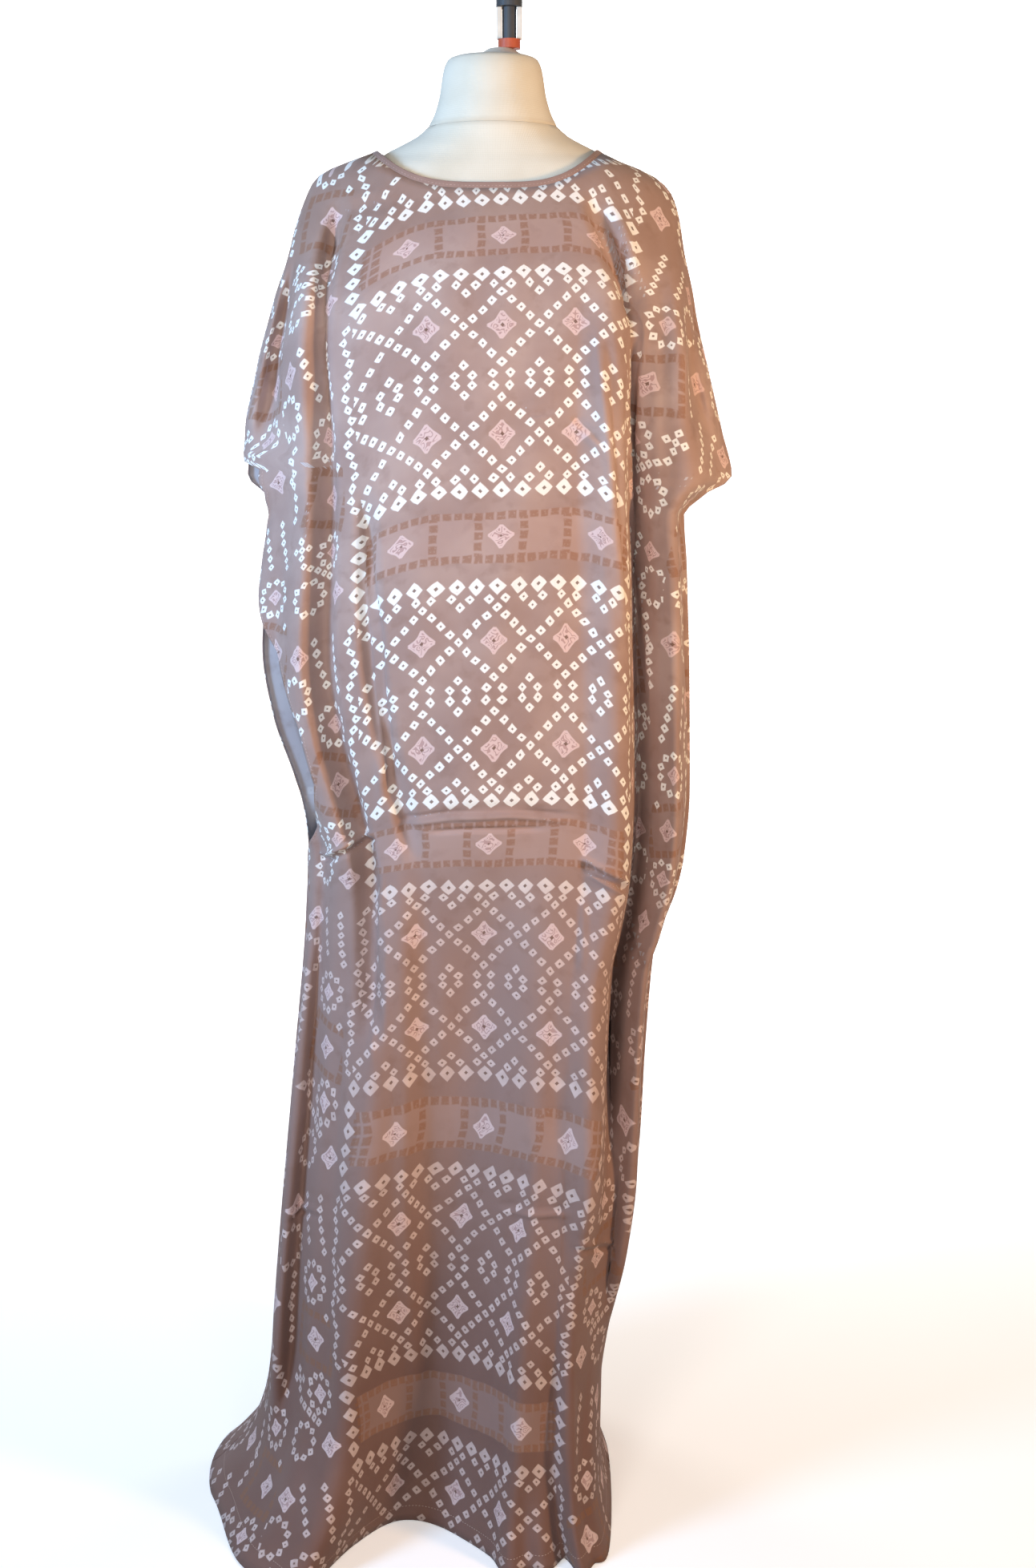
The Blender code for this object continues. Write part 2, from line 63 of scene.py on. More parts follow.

# %% [markdown]
# ## The camera
# The picture was taken from a little above chest height, about two metres away, tipped down by eleven
# degrees. The camera comes first, so that every later step can be judged through it. Its depth of field
# stays off and it has no shift.

# %% Place the camera
CAMERA_PLACE = (0.026, -2.10, 1.24)
TIPPED_DOWN = 11.2
LENS, SENSOR_WIDTH = 44.4, 36
camera = bpy.data.objects.new("camera", bpy.data.cameras.new("camera"))
camera.data.lens = LENS
camera.data.sensor_width = SENSOR_WIDTH
camera.data.dof.use_dof = False
camera.location = CAMERA_PLACE
camera.rotation_euler = (np.radians(90 - TIPPED_DOWN), 0, 0)
bpy.context.scene.collection.objects.link(camera)
bpy.context.scene.camera = camera
print("camera at", tuple(round(x, 3) for x in camera.location))

# %% [markdown]
# ## From arrays to meshes
# Every new piece below is an array of points and an array of faces. One helper turns these into an
# object at the origin, unturned and unscaled, and can lay a UV map on it. A second one joins the points
# of a grid into quads, and can join its last column to its first, for a tube or a ring.

# %% Helpers that make meshes
def make_piece(name, points, faces, materials, uv=None, slots=None, sharp=None):
    """A new object from points (n, 3) and faces (m, 4). A uv is one pair for each point."""
    mesh = bpy.data.meshes.new(name)
    mesh.from_pydata(points.reshape(-1, 3), [], faces.reshape(-1, faces.shape[-1]).tolist())
    for material in materials:
        mesh.materials.append(material)
    if slots is not None:
        mesh.polygons.foreach_set("material_index", slots.astype(np.int32))
    if uv is not None:
        corner = np.empty(len(mesh.loops), np.int32)
        mesh.loops.foreach_get("vertex_index", corner)
        layer = mesh.uv_layers.new(name="print")
        layer.data.foreach_set("uv", uv.reshape(-1, 2)[corner].astype(np.float32).ravel())
    mesh.shade_smooth()
    if sharp is not None:
        mesh.set_sharp_from_angle(angle=np.radians(sharp))
    mesh.update()
    made = bpy.data.objects.new(name, mesh)
    bpy.context.scene.collection.objects.link(made)
    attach(made, "root")
    print(name, len(mesh.vertices), "points", len(mesh.polygons), "faces")
    return made

def grid_faces(rows, columns, ring=False):
    """Quads between neighbouring points of a grid. With ring, the last column joins the first."""
    index = np.arange(rows * columns).reshape(rows, columns)
    if ring:
        index = np.concatenate([index, index[:, :1]], axis=1)
    corners = [index[:-1, :-1], index[:-1, 1:], index[1:, 1:], index[1:, :-1]]
    return np.stack(corners, axis=-1).reshape(-1, 4)

def unit(vectors):
    """The same directions with a length of 1."""
    return vectors / np.maximum(np.linalg.norm(vectors, axis=-1, keepdims=True), 1e-12)

# %% [markdown]
# ## Shader maths as Python sums
# A print is drawn by distance: how far is this point of the cloth from the nearest dot? Written node by
# node that is hard to read, so a Wire wraps a socket and Python's own operators add the Math nodes. A
# Finish is one material. Its one method adds any node: its settings are made first, then its sockets.

# %% A wire that can be added, and a finish that holds the nodes
class Wire:
    """A socket of numbers. Sums with it add Math nodes, and numbers may stand on either side."""
    def __init__(self, finish, socket):
        self.finish, self.socket = finish, socket
    def math(self, operation, *others):
        """A Math node on this number and the others."""
        inputs = dict(enumerate((self, *others)))
        return self.finish.add("Math", {"operation": operation}, inputs)
    def __add__(self, other): return self.math("ADD", other)
    def __sub__(self, other): return self.math("SUBTRACT", other)
    def __mul__(self, other): return self.math("MULTIPLY", other)
    def __truediv__(self, other): return self.math("DIVIDE", other)
    def __abs__(self): return self.math("ABSOLUTE")
    def __rsub__(self, other): return self.finish.value_math("SUBTRACT", other, self)
    def __rtruediv__(self, other): return self.finish.value_math("DIVIDE", other, self)
    __radd__, __rmul__ = __add__, __mul__
    def low(self, other): return self.math("MINIMUM", other)
    def high(self, other): return self.math("MAXIMUM", other)
    def to_multiple(self, step):
        """Distance to the nearest whole multiple of the step."""
        return self.math("PINGPONG", step / 2)
    def rise(self, start, end):
        """0 at start and 1 at end, smoothly. A start above the end gives a fall."""
        sockets = {"Value": self, "From Min": min(start, end), "From Max": max(start, end)}
        sockets |= {"To Min": float(start > end), "To Max": float(start < end)}
        return self.finish.add("MapRange", {"interpolation_type": "SMOOTHSTEP"}, sockets)

class Finish:
    """A material with one Principled shader, and the one method that adds nodes to it."""
    def __init__(self, name):
        self.material = bpy.data.materials.new(name)
        self.material.use_nodes = True
        self.tree = self.material.node_tree
        self.shader = self.tree.nodes["Principled BSDF"]
    def put(self, socket, value):
        """Links a Wire to the socket, or sets the socket's own value."""
        if isinstance(value, Wire):
            self.tree.links.new(value.socket, socket)
        else:
            socket.default_value = value
    def add(self, kind, settings={}, sockets={}, out=0):
        """Adds a node of a kind, gives it its settings and then its sockets, and returns one output."""
        node = self.tree.nodes.new("ShaderNode" + kind)
        for name, value in settings.items():
            setattr(node, name, value)
        for key, value in sockets.items():
            self.put(node.inputs[key], value)
        return Wire(self, node.outputs[out])
    def value_math(self, operation, first, second):
        """A Math node whose first number may be a plain one."""
        return self.add("Math", {"operation": operation}, {0: first, 1: second})
    def vector(self, operation, *inputs, out=0):
        """A Vector Math node. Its output 0 is a vector, and its output 1 a number."""
        return self.add("VectorMath", {"operation": operation}, dict(enumerate(inputs)), out)
    def split(self, vector):
        """The first two parts of a vector."""
        node = self.add("SeparateXYZ", {}, {0: vector}).socket.node
        return Wire(self, node.outputs[0]), Wire(self, node.outputs[1])
    def join(self, x, y):
        """A flat vector of two numbers."""
        return self.add("CombineXYZ", {}, {0: x, 1: y})
    def mix(self, share, first, second):
        """A colour between two. The colours are sockets 6 and 7 of Blender's Mix node."""
        settings = {"data_type": "RGBA", "clamp_factor": True}
        return self.add("Mix", settings, {0: share, 6: first, 7: second}, out=2)
    def noise(self, where, scale, detail=2.0):
        """Cloudy noise about 0.5. Its clouds are about 1 / scale of a unit wide."""
        return self.add("TexNoise", {}, {"Vector": where, "Scale": scale, "Detail": detail})
    def surface(self, **sockets):
        """Sets the shader's sockets. Underscores stand for the spaces in their names."""
        for name, value in sockets.items():
            self.put(self.shader.inputs[name.replace("_", " ")], value)
        return self.material
    def bump(self, height, distance, strength):
        """A normal that tilts with a height, where 1 stands for the distance in metres."""
        return self.add("Bump", {}, {"Height": height, "Distance": distance, "Strength": strength})

def paint(red, green, blue):
    """A colour picked on a screen, from 0 to 255, as the linear one that shaders use."""
    share = np.array([red, green, blue]) / 255
    linear = np.where(share <= 0.04045, share / 12.92, ((share + 0.055) / 1.055) ** 2.4)
    return (*linear.tolist(), 1.0)

# %% [markdown]
# ## The shape that the cloth hangs in
# A dress form fills the shoulders and chest, and below them the cloth hangs free down to the floor. The
# CAD model gets that shape from a table of rounded outlines, one for each height, and from a table of
# folds. The same tables stand here, because the cloth that shows has to follow its solid. Between the
# rows a smooth curve runs that never overshoots them.

# %% Sizes and outlines of the dress and of the form inside it
SEAM_GAP = 0.7 * MM
HEM_HEIGHT = 0.6 * MM
NECK_POINT_HEIGHT = 1491 * MM
FRONT_NECK_DROP = 41 * MM
BACK_NECK_DROP = 8 * MM
NECK_SCOOP_POWER = 3.4
BINDING_WIDTH = 5 * MM
BINDING_GAP = 1.0 * MM
CLEAR_OF_FORM = 1.1 * MM
LIFT_OFF_FORM = 0.4 * MM
CLEAR_BELOW_FORM = 10 * MM
FORM_BOTTOM = 800 * MM
SPACING_HEIGHTS = (150, 1350, 9)
TRIM_START = 0.3
FLOOR_RIPPLE_TOP = 110 * MM
FLOOR_RIPPLE_WAVES = 9
FLOOR_RIPPLE_REACH = 7 * MM
Section = namedtuple("Section", "height left right front back square")
# How far the dress reaches to each side, to the front and to the back, in millimetres at each height
DRESS_SECTIONS = [
    Section(1506, 92, 84, 58, 53, 2.1),
    Section(1491, 125, 112, 62, 57, 2.1),
    Section(1484, 146, 128, 65, 61, 2.1),
    Section(1476, 166, 150, 68, 65, 2.1),
    Section(1464, 182, 173, 73, 71, 2.2),
    Section(1452, 189, 184, 78, 77, 2.2),
    Section(1438, 195, 190, 84, 84, 2.2),
    Section(1405, 207, 197, 101, 98, 2.2),
    Section(1340, 224, 204, 127, 112, 2.2),
    Section(1274, 230, 203, 144, 116, 2.2),
    Section(1207, 230, 200, 149, 116, 2.2),
    Section(1160, 234, 201, 150, 117, 2.2),
    Section(1142, 235, 201, 150, 117, 2.2),
    Section(1126, 237, 201, 150, 118, 2.2),
    Section(1070, 246, 205, 150, 120, 2.2),
    Section(966, 258, 209, 151, 126, 2.2),
    Section(895, 248, 211, 152, 130, 2.2),
    Section(823, 225, 212, 153, 134, 2.2),
    Section(750, 206, 207, 154, 138, 2.2),
    Section(676, 210, 189, 156, 142, 2.2),
    Section(639, 213, 177, 157, 144, 2.2),
    Section(526, 225, 169, 163, 150, 2.2),
    Section(410, 237, 164, 170, 156, 2.2),
    Section(252, 253, 142, 181, 166, 2.2),
    Section(131, 264, 122, 192, 176, 2.2),
    Section(60, 284, 121, 204, 188, 2.2),
    Section(12, 324, 129, 222, 206, 2.2),
    Section(0, 338, 134, 228, 214, 2.2),
]
# How much further out than the body beside them the sleeves reach, and where on a panel that begins
Flare = namedtuple("Flare", "height left right")
SLEEVE_FLARES = [
    Flare(1438, 0, 0),
    Flare(1405, 0, 0),
    Flare(1340, 7, 7),
    Flare(1274, 20, 23),
    Flare(1207, 34, 43),
    Flare(1160, 35, 53),
    Flare(1142, 17, 25),
    Flare(1126, 0, 0),
]
FLARE_START = 0.5
# The dress form's torso and neck, in the same columns
TORSO_SECTIONS = [
    Section(1518, 68, 68, 55, 50, 2.0),
    Section(1510, 76, 76, 55, 50, 2.0),
    Section(1502, 90, 90, 56, 51, 2.0),
    Section(1494, 107, 107, 58, 53, 2.0),
    Section(1486, 121, 121, 60, 56, 2.0),
    Section(1478, 143, 143, 63, 60, 2.1),
    Section(1466, 164, 164, 67, 66, 2.2),
    Section(1454, 174, 174, 72, 71, 2.2),
    Section(1436, 178, 178, 79, 78, 2.2),
    Section(1400, 174, 174, 94, 88, 2.2),
    Section(1340, 164, 164, 116, 97, 2.2),
    Section(1280, 156, 156, 132, 98, 2.2),
    Section(1240, 150, 150, 134, 95, 2.2),
    Section(1180, 138, 138, 120, 89, 2.2),
    Section(1100, 124, 124, 100, 82, 2.2),
    Section(1050, 120, 120, 95, 82, 2.2),
    Section(980, 132, 132, 98, 90, 2.2),
    Section(900, 146, 146, 103, 97, 2.2),
    Section(840, 148, 148, 102, 98, 2.2),
    Section(800, 144, 144, 98, 94, 2.2),
]
NECK_SECTIONS = [
    Section(1588, 20, 20, 18, 18, 2.0),
    Section(1587, 40, 40, 36, 36, 2.0),
    Section(1583, 47, 47, 43, 43, 2.0),
    Section(1573, 51, 51, 47, 47, 2.0),
    Section(1549, 55, 55, 50, 48, 2.0),
    Section(1532, 60, 60, 53, 49, 2.0),
    Section(1518, 67, 67, 54, 49, 2.0),
]

# %% [markdown]
# ## Folds
# A fold is a soft wave pressed into the outline along a line from a top height to a bottom one. Its
# place runs from -1 at the left side to 1 at the right side, and its depth goes into the dress when it
# is positive. A row of the edges table says where the open sides lie, above the side seams.

# %% Tables of the open edges and of the folds
EdgeRow = namedtuple("EdgeRow", "height front_left front_right back_left back_right")
Fold = namedtuple("Fold", "name top bottom place_top place_low sideways depth_top depth_low spread fade")
SIDE_EDGES = [
    EdgeRow(1500, 1.00, 1.00, 1.00, 1.00),
    EdgeRow(1182, 1.00, 1.00, 1.00, 1.00),
    EdgeRow(1170, 0.78, 1.00, 1.00, 1.00),
    EdgeRow(1145, 0.79, 0.88, 1.00, 1.00),
    EdgeRow(1120, 0.92, 0.96, 1.00, 1.00),
    EdgeRow(1100, 1.00, 1.00, 1.00, 1.00),
    EdgeRow(1050, 0.96, 1.00, 1.00, 1.00),
    EdgeRow(980, 0.66, 1.00, 1.00, 1.00),
    EdgeRow(900, 0.57, 1.00, 1.00, 1.00),
    EdgeRow(845, 0.57, 1.00, 1.00, 1.00),
    EdgeRow(790, 0.66, 1.00, 1.00, 1.00),
    EdgeRow(735, 1.00, 1.00, 1.00, 1.00),
    EdgeRow(0, 1.00, 1.00, 1.00, 1.00),
]
FRONT_FOLDS = [
    Fold("middle valley", 860, 0, -0.03, -0.17, 0, 6, 86, 0.30, 200),
    Fold("hem notch", 240, 0, -0.17, -0.17, 0, 0, 24, 0.13, 160),
    Fold("left low ridge", 800, 0, -0.38, -0.42, 0, -8, -16, 0.12, 160),
    Fold("right low ridge", 760, 0, 0.30, 0.47, 0, -6, -24, 0.12, 160),
    Fold("right shoulder drape", 1450, 1310, 0.34, 0.50, -6, 8, 34, 0.075, 40),
    Fold("right body edge", 1400, 300, 0.37, 0.41, 5, -14, -20, 0.11, 120),
    Fold("right body valley", 1380, 380, 0.50, 0.54, -5, 40, 70, 0.09, 200),
    Fold("right side roll", 1400, 200, 0.71, 0.73, 0, -28, -46, 0.14, 120),
    Fold("right sleeve valley", 1370, 1180, 0.74, 0.80, 0, 14, 30, 0.08, 70),
    Fold("right seam fold", 1060, 180, 0.90, 0.90, -22, 0, 0, 0.07, 80),
    Fold("right hem lobe", 260, 0, 0.62, 0.70, 0, -20, -84, 0.34, 200),
    Fold("left hem lobe", 200, 0, -0.52, -0.50, 0, -10, -70, 0.30, 160),
    Fold("left chest valley", 1444, 560, -0.56, -0.40, 6, 26, 24, 0.07, 60),
    Fold("left chest roll", 1400, 700, -0.57, -0.55, 0, -12, -14, 0.12, 90),
    Fold("left sleeve edge", 1400, 1180, -0.58, -0.60, 0, -10, -12, 0.13, 80),
    Fold("left sleeve valley", 1400, 1180, -0.74, -0.78, 0, 24, 38, 0.09, 70),
    Fold("left side valley", 1120, 60, -0.66, -0.66, 0, 12, 20, 0.10, 160),
    Fold("left inner pleat", 1160, 760, -0.36, -0.25, 0, 13, 11, 0.045, 60),
    Fold("left side roll", 720, 60, -0.80, -0.78, 0, -16, -34, 0.13, 120),
    Fold("left seam fold", 740, 120, -0.91, -0.91, 24, 0, 0, 0.07, 80),
    Fold("left armhole edge", 1190, 752, -1.0, -1.0, 0, -26, -20, 0.30, 60),
    Fold("right armhole edge", 1176, 654, 1.0, 1.0, 0, -26, -24, 0.24, 60),
]
BACK_FOLDS = [
    Fold("middle valley", 1330, 0, 0.02, 0.08, 0, 12, 74, 0.15, 260),
    Fold("left blade fold", 1400, 0, -0.31, -0.34, 0, 14, 64, 0.12, 240),
    Fold("right blade fold", 1410, 0, 0.34, 0.38, 0, 14, 44, 0.13, 240),
    Fold("left ridge", 1200, 0, -0.15, -0.14, 0, -8, -18, 0.11, 240),
    Fold("right ridge", 1200, 0, 0.20, 0.24, 0, -8, -18, 0.11, 240),
    Fold("left under sleeve", 1410, 40, -0.58, -0.56, 8, 40, 82, 0.11, 90),
    Fold("right under sleeve", 1410, 40, 0.60, 0.60, -8, 40, 76, 0.11, 90),
    Fold("left side roll", 1350, 40, -0.77, -0.77, 0, -22, -30, 0.11, 120),
    Fold("right side roll", 1350, 40, 0.79, 0.79, 0, -22, -28, 0.11, 120),
    Fold("left armhole edge", 1230, 752, -1.0, -1.0, 0, -44, -46, 0.24, 60),
    Fold("left armhole wing", 1230, 752, -0.84, -0.84, 20, 0, 0, 0.13, 60),
    Fold("right armhole edge", 1176, 654, 1.0, 1.0, 0, -24, -22, 0.24, 60),
]

# %% Outlines as smooth surfaces
def through(rows, column, height):
    """Reads a table's column at any height, on a smooth curve that never overshoots its rows."""
    table = sorted((row.height * MM, getattr(row, column)) for row in rows)
    at = np.array([pair[0] for pair in table])
    value = np.array([pair[1] for pair in table], float)
    step = np.diff(at)
    slope = np.diff(value) / step
    both = slope[:-1] * slope[1:]
    middle = np.where(both > 0, 2 * both / np.where(both > 0, slope[:-1] + slope[1:], 1), 0)
    tangent = np.concatenate([slope[:1], middle, slope[-1:]])
    place = np.clip(height, at[0], at[-1])
    k = np.clip(np.searchsorted(at, place) - 1, 0, len(step) - 1)
    t = (place - at[k]) / step[k]
    return (
        (2 * t**3 - 3 * t**2 + 1) * value[k]
        + (t**3 - 2 * t**2 + t) * step[k] * tangent[k]
        + (3 * t**2 - 2 * t**3) * value[k + 1]
        + (t**3 - t**2) * step[k] * tangent[k + 1]
    )

def ramp(share):
    """Rises smoothly from 0 to 1 as share goes from 0 to 1."""
    t = np.clip(share, 0, 1)
    return t * t * (3 - 2 * t)

def rounded_section(rows, place, height, side):
    """A point of a rounded outline. Place runs -1, 0, 1 from left to right, and side is -1 in front."""
    turn = place * np.pi / 2
    square = through(rows, "square", height)
    corner = (np.abs(np.cos(turn)) ** square + np.abs(np.sin(turn)) ** square) ** (-1 / square)
    width = np.where(place < 0, through(rows, "left", height), through(rows, "right", height))
    depth = through(rows, "front" if side < 0 else "back", height)
    return width * MM * np.sin(turn) * corner, side * depth * MM * np.cos(turn) * corner

def sleeve_flare(place, height):
    """How far the sleeves carry a point sideways. Only the outer part of a panel follows them."""
    reach = np.where(
        place < 0, through(SLEEVE_FLARES, "left", height), through(SLEEVE_FLARES, "right", height)
    )
    share = ramp((np.abs(place) - FLARE_START) / (1 - FLARE_START))
    return np.sign(place) * reach * MM * share

# %% Folds laid over the outline
def fold_window(fold, height):
    """1 along the fold's run and 0 past its ends. A fold that reaches the floor stays open there."""
    below_top = ramp((fold.top * MM - height) / (fold.fade * MM))
    if fold.bottom == 0:
        return below_top
    return below_top * ramp((height - fold.bottom * MM) / (fold.fade * MM))

def fold_shift(folds, place, height):
    """How far the folds move a point, sideways and into the dress, in metres."""
    sideways, inward = np.zeros_like(height), np.zeros_like(height)
    for fold in folds:
        down = np.clip((fold.top * MM - height) / ((fold.top - fold.bottom) * MM), 0, 1)
        middle = fold.place_top + (fold.place_low - fold.place_top) * down
        depth = fold.depth_top + (fold.depth_low - fold.depth_top) * down
        near = np.clip(np.abs(place - middle) / fold.spread, 0, 1)
        share = np.cos(near * np.pi / 2) ** 2 * fold_window(fold, height)
        sideways += fold.sideways * MM * share
        inward += depth * MM * share
    return sideways, inward

def clear_of_torso(x, y, height):
    """Moves a point level, out of the form as it would be if it were a little wider and higher."""
    inside = height > FORM_BOTTOM - CLEAR_BELOW_FORM
    level = np.clip(height - LIFT_OFF_FORM, FORM_BOTTOM, None)
    square = through(TORSO_SECTIONS, "square", level)
    width = through(TORSO_SECTIONS, "left", level) * MM + CLEAR_OF_FORM
    front = through(TORSO_SECTIONS, "front", level) * MM + CLEAR_OF_FORM
    back = through(TORSO_SECTIONS, "back", level) * MM + CLEAR_OF_FORM
    depth = np.where(y < 0, front, back)
    reach = (np.abs(x / width) ** square + np.abs(y / depth) ** square) ** (1 / square)
    grow = np.where(inside & (reach < 1), 1 / np.maximum(reach, 0.05), 1.0)
    return x * grow, y * grow

def dress_point(place, height, side):
    """A point of the dress's front (side -1) or back (side 1), at a place and a height."""
    x, y = rounded_section(DRESS_SECTIONS, place, height, side)
    sideways, inward = fold_shift(FRONT_FOLDS if side < 0 else BACK_FOLDS, place, height)
    low = ramp(1 - height / FLOOR_RIPPLE_TOP)
    fade_at_seam = np.cos(place * np.pi / 2)
    ripple = FLOOR_RIPPLE_REACH * low * fade_at_seam * np.sin(place * np.pi * FLOOR_RIPPLE_WAVES)
    x = x + sideways + sleeve_flare(place, height)
    y = y - side * inward + side * ripple
    x, y = clear_of_torso(x, y, height)
    return x, y + side * SEAM_GAP / 2, height

def edge_trimmed(place, height, side):
    """Draws a row's outer places inwards, so that its ends lie on the panel's side edges."""
    rows = SIDE_EDGES[::-1]
    levels = [row.height * MM for row in rows]
    left = [row.front_left if side < 0 else row.back_left for row in rows]
    right = [row.front_right if side < 0 else row.back_right for row in rows]
    edge = np.where(place < 0, np.interp(height, levels, left), np.interp(height, levels, right))
    return place * (1 - (1 - edge) * ramp((np.abs(place) - TRIM_START) / (1 - TRIM_START)))

def neckline_height(place, side):
    """The height where a place meets the neck edge, a scoop with height as a power of the distance."""
    drop = FRONT_NECK_DROP if side < 0 else BACK_NECK_DROP
    reach, _ = rounded_section(DRESS_SECTIONS, np.sign(place), NECK_POINT_HEIGHT, side)
    low = np.full_like(place, NECK_POINT_HEIGHT - drop)
    high = np.full_like(place, NECK_POINT_HEIGHT)
    for _ in range(30):
        middle = (low + high) / 2
        x, _ = rounded_section(DRESS_SECTIONS, place, middle, side)
        share = np.clip(np.abs(x / np.where(reach == 0, 1, reach)), 0, 1) ** NECK_SCOOP_POWER
        above = middle > NECK_POINT_HEIGHT - drop * (1 - share)
        low, high = np.where(above, low, middle), np.where(above, middle, high)
    return (low + high) / 2

def even_places(count, side):
    """Places across a panel, spaced evenly by the cloth's own length, averaged over a few heights."""
    fine = np.linspace(-1, 1, 801)
    travelled = np.zeros_like(fine)
    for height in np.linspace(*SPACING_HEIGHTS) * MM:
        x, y, _ = dress_point(fine, np.full_like(fine, height), side)
        step = np.hypot(np.diff(x), np.diff(y))
        travelled[1:] += np.cumsum(step) / step.sum()
    return np.interp(np.linspace(0, 1, count), travelled / travelled[-1], fine)

def places_at(shares, side, count):
    """Places at any shares of the cloth's length across a panel, read between even ones."""
    return np.interp(shares, np.linspace(0, 1, count), even_places(count, side))

def neck_ring(place, side, level_step):
    """The neck edge of one panel, and the level direction up its surface from each point of it."""
    level = neckline_height(place, side)
    edge = np.stack(dress_point(place, level, side), axis=-1)
    above = np.stack(dress_point(place, level + level_step, side), axis=-1)
    return edge, above - edge

# %% [markdown]
# ## Laying the cloth out flat
# The print was on the cloth before it was cut, so it has to run over the folds as it would on a real
# sheet. To find that, each panel is flattened, as a pattern cutter would press it out on a table. Every
# little triangle of a coarse grid wants to keep its own shape, and only turns. The turns and the places
# are solved for in alternation, which is known as as-rigid-as-possible flattening. It runs on a coarse
# grid to stay quick, and finer points are read between the coarse ones.

# %% Flatten a grid of points
def panel_points(across, down, side):
    """Points of a panel at places across it and shares of the way down, from -1 to 1 and from 0 to 1."""
    place, share = np.meshgrid(across, down)
    top = neckline_height(place, side)
    height = top + (HEM_HEIGHT - top) * share
    x, y, z = dress_point(edge_trimmed(place, height, side), height, side)
    return np.stack([x, y, z], axis=-1)

def rest_triangles(points):
    """Both ways of halving each quad, with each triangle's flat shape and its corners' cotangents."""
    a, b, c, e = grid_faces(*points.shape[:2]).T
    corners = np.concatenate([np.stack(t, 1) for t in ((a, b, c), (a, c, e), (a, b, e), (b, c, e))])
    p, q, r = points.reshape(-1, 3)[corners].transpose(1, 0, 2)
    side = np.linalg.norm(q - p, axis=1)
    along = ((r - p) * (q - p)).sum(1) / side
    across = np.sqrt(np.maximum(((r - p) ** 2).sum(1) - along**2, 0))
    zero = np.zeros_like(side)
    flat = np.stack([zero, zero, side, zero, along, across], 1).reshape(-1, 3, 2)
    first, second = np.roll(flat, -1, 1) - flat, np.roll(flat, -2, 1) - flat
    turned = first[..., 0] * second[..., 1] - first[..., 1] * second[..., 0]
    cotangent = (first * second).sum(-1) / np.maximum(np.abs(turned), 1e-12)
    return corners, flat, np.clip(cotangent, 0.02, 20)

def row_solver(rows, columns, edges):
    """Solves the grid's equations. A point meets only its own row and the two beside it, so the rows are
    cleared one after the other downwards, and found one after the other upwards. The first point is
    tied to where it was, or the grid could drift."""
    inside, above = np.zeros((2, rows, columns, columns))
    for i, j, weight in edges:
        for a, b in ((i, j), (j, i)):
            (row, column), (other_row, other) = divmod(a, columns), divmod(b, columns)
            np.add.at(inside, (row, column, column), weight)
            same, next_row = row == other_row, row == other_row + 1
            np.add.at(inside, (row[same], column[same], other[same]), -weight[same])
            np.add.at(above, (row[next_row], column[next_row], other[next_row]), -weight[next_row])
    inside[0, 0, 0] += 1
    inverse = np.empty_like(inside)
    inverse[0] = np.linalg.inv(inside[0])
    for r in range(1, rows):
        inverse[r] = np.linalg.inv(inside[r] - above[r] @ inverse[r - 1] @ above[r].T)
    def solve(pull):
        """The places where the edges, by their weights, balance this pull."""
        found = pull.reshape(rows, columns, 2).copy()
        for r in range(1, rows):
            found[r] -= above[r] @ inverse[r - 1] @ found[r - 1]
        found[-1] = inverse[-1] @ found[-1]
        for r in range(rows - 2, -1, -1):
            found[r] = inverse[r] @ (found[r] - above[r + 1].T @ found[r + 1])
        return found.reshape(-1, 2)
    return solve

def flatten(points, start, rounds=50):
    """Flat places of a grid's points. Each round turns every rest triangle to fit its present place
    best, and then solves for the places that fit all the turned triangles' edges, by the weights."""
    corners, flat, weight = rest_triangles(points)
    edges = [(corners[:, (k + 1) % 3], corners[:, (k + 2) % 3], weight[:, k]) for k in range(3)]
    rest_edge = [flat[:, (k + 1) % 3] - flat[:, (k + 2) % 3] for k in range(3)]
    solve = row_solver(*points.shape[:2], edges)
    placed = start.reshape(-1, 2).copy()
    for _ in range(rounds):
        sums = sum(w[:, None, None] * (placed[i] - placed[j])[:, :, None] * edge[:, None, :]
                   for (i, j, w), edge in zip(edges, rest_edge))
        angle = np.arctan2(sums[:, 1, 0] - sums[:, 0, 1], sums[:, 0, 0] + sums[:, 1, 1])
        c, s = np.cos(angle), np.sin(angle)
        pull = np.zeros_like(placed)
        for (i, j, w), edge in zip(edges, rest_edge):
            turned = c * edge[:, 0] - s * edge[:, 1], s * edge[:, 0] + c * edge[:, 1]
            for k in range(2):
                pull[:, k] += np.bincount(i, w * turned[k], len(placed))
                pull[:, k] -= np.bincount(j, w * turned[k], len(placed))
        pull[0] += placed[0]
        placed = solve(pull)
    return placed.reshape(*points.shape[:2], 2)

# %% Flatten both panels
FLAT_COLUMNS, FLAT_ROWS = 56, 56
ROWS_AT_NECK = 4
NECK_DROP = {-1: FRONT_NECK_DROP, 1: BACK_NECK_DROP}

def flat_panel(side):
    """Flat places of a coarse grid. The middle of the neck edge lies at (0, its drop below the shoulder
    line), the middle column runs straight down, and lengths are in metres."""
    points = panel_points(even_places(FLAT_COLUMNS + 1, side), np.linspace(0, 1, FLAT_ROWS + 1), side)
    middle = FLAT_COLUMNS // 2
    along = np.linalg.norm(np.diff(points, axis=1), axis=2).cumsum(axis=1)
    along = np.pad(along, ((0, 0), (1, 0)))
    down = np.pad(np.linalg.norm(np.diff(points, axis=0), axis=2).cumsum(axis=0), ((1, 0), (0, 0)))
    flat = flatten(points, np.stack([along - along[:, middle:middle + 1], down], axis=-1))
    run = flat[-1, middle] - flat[ROWS_AT_NECK, middle]
    angle = np.arctan2(run[0], run[1])
    turn = np.array([[np.cos(angle), -np.sin(angle)], [np.sin(angle), np.cos(angle)]])
    flat = flat @ turn.T
    return flat - flat[0, middle] + (0, NECK_DROP[side])

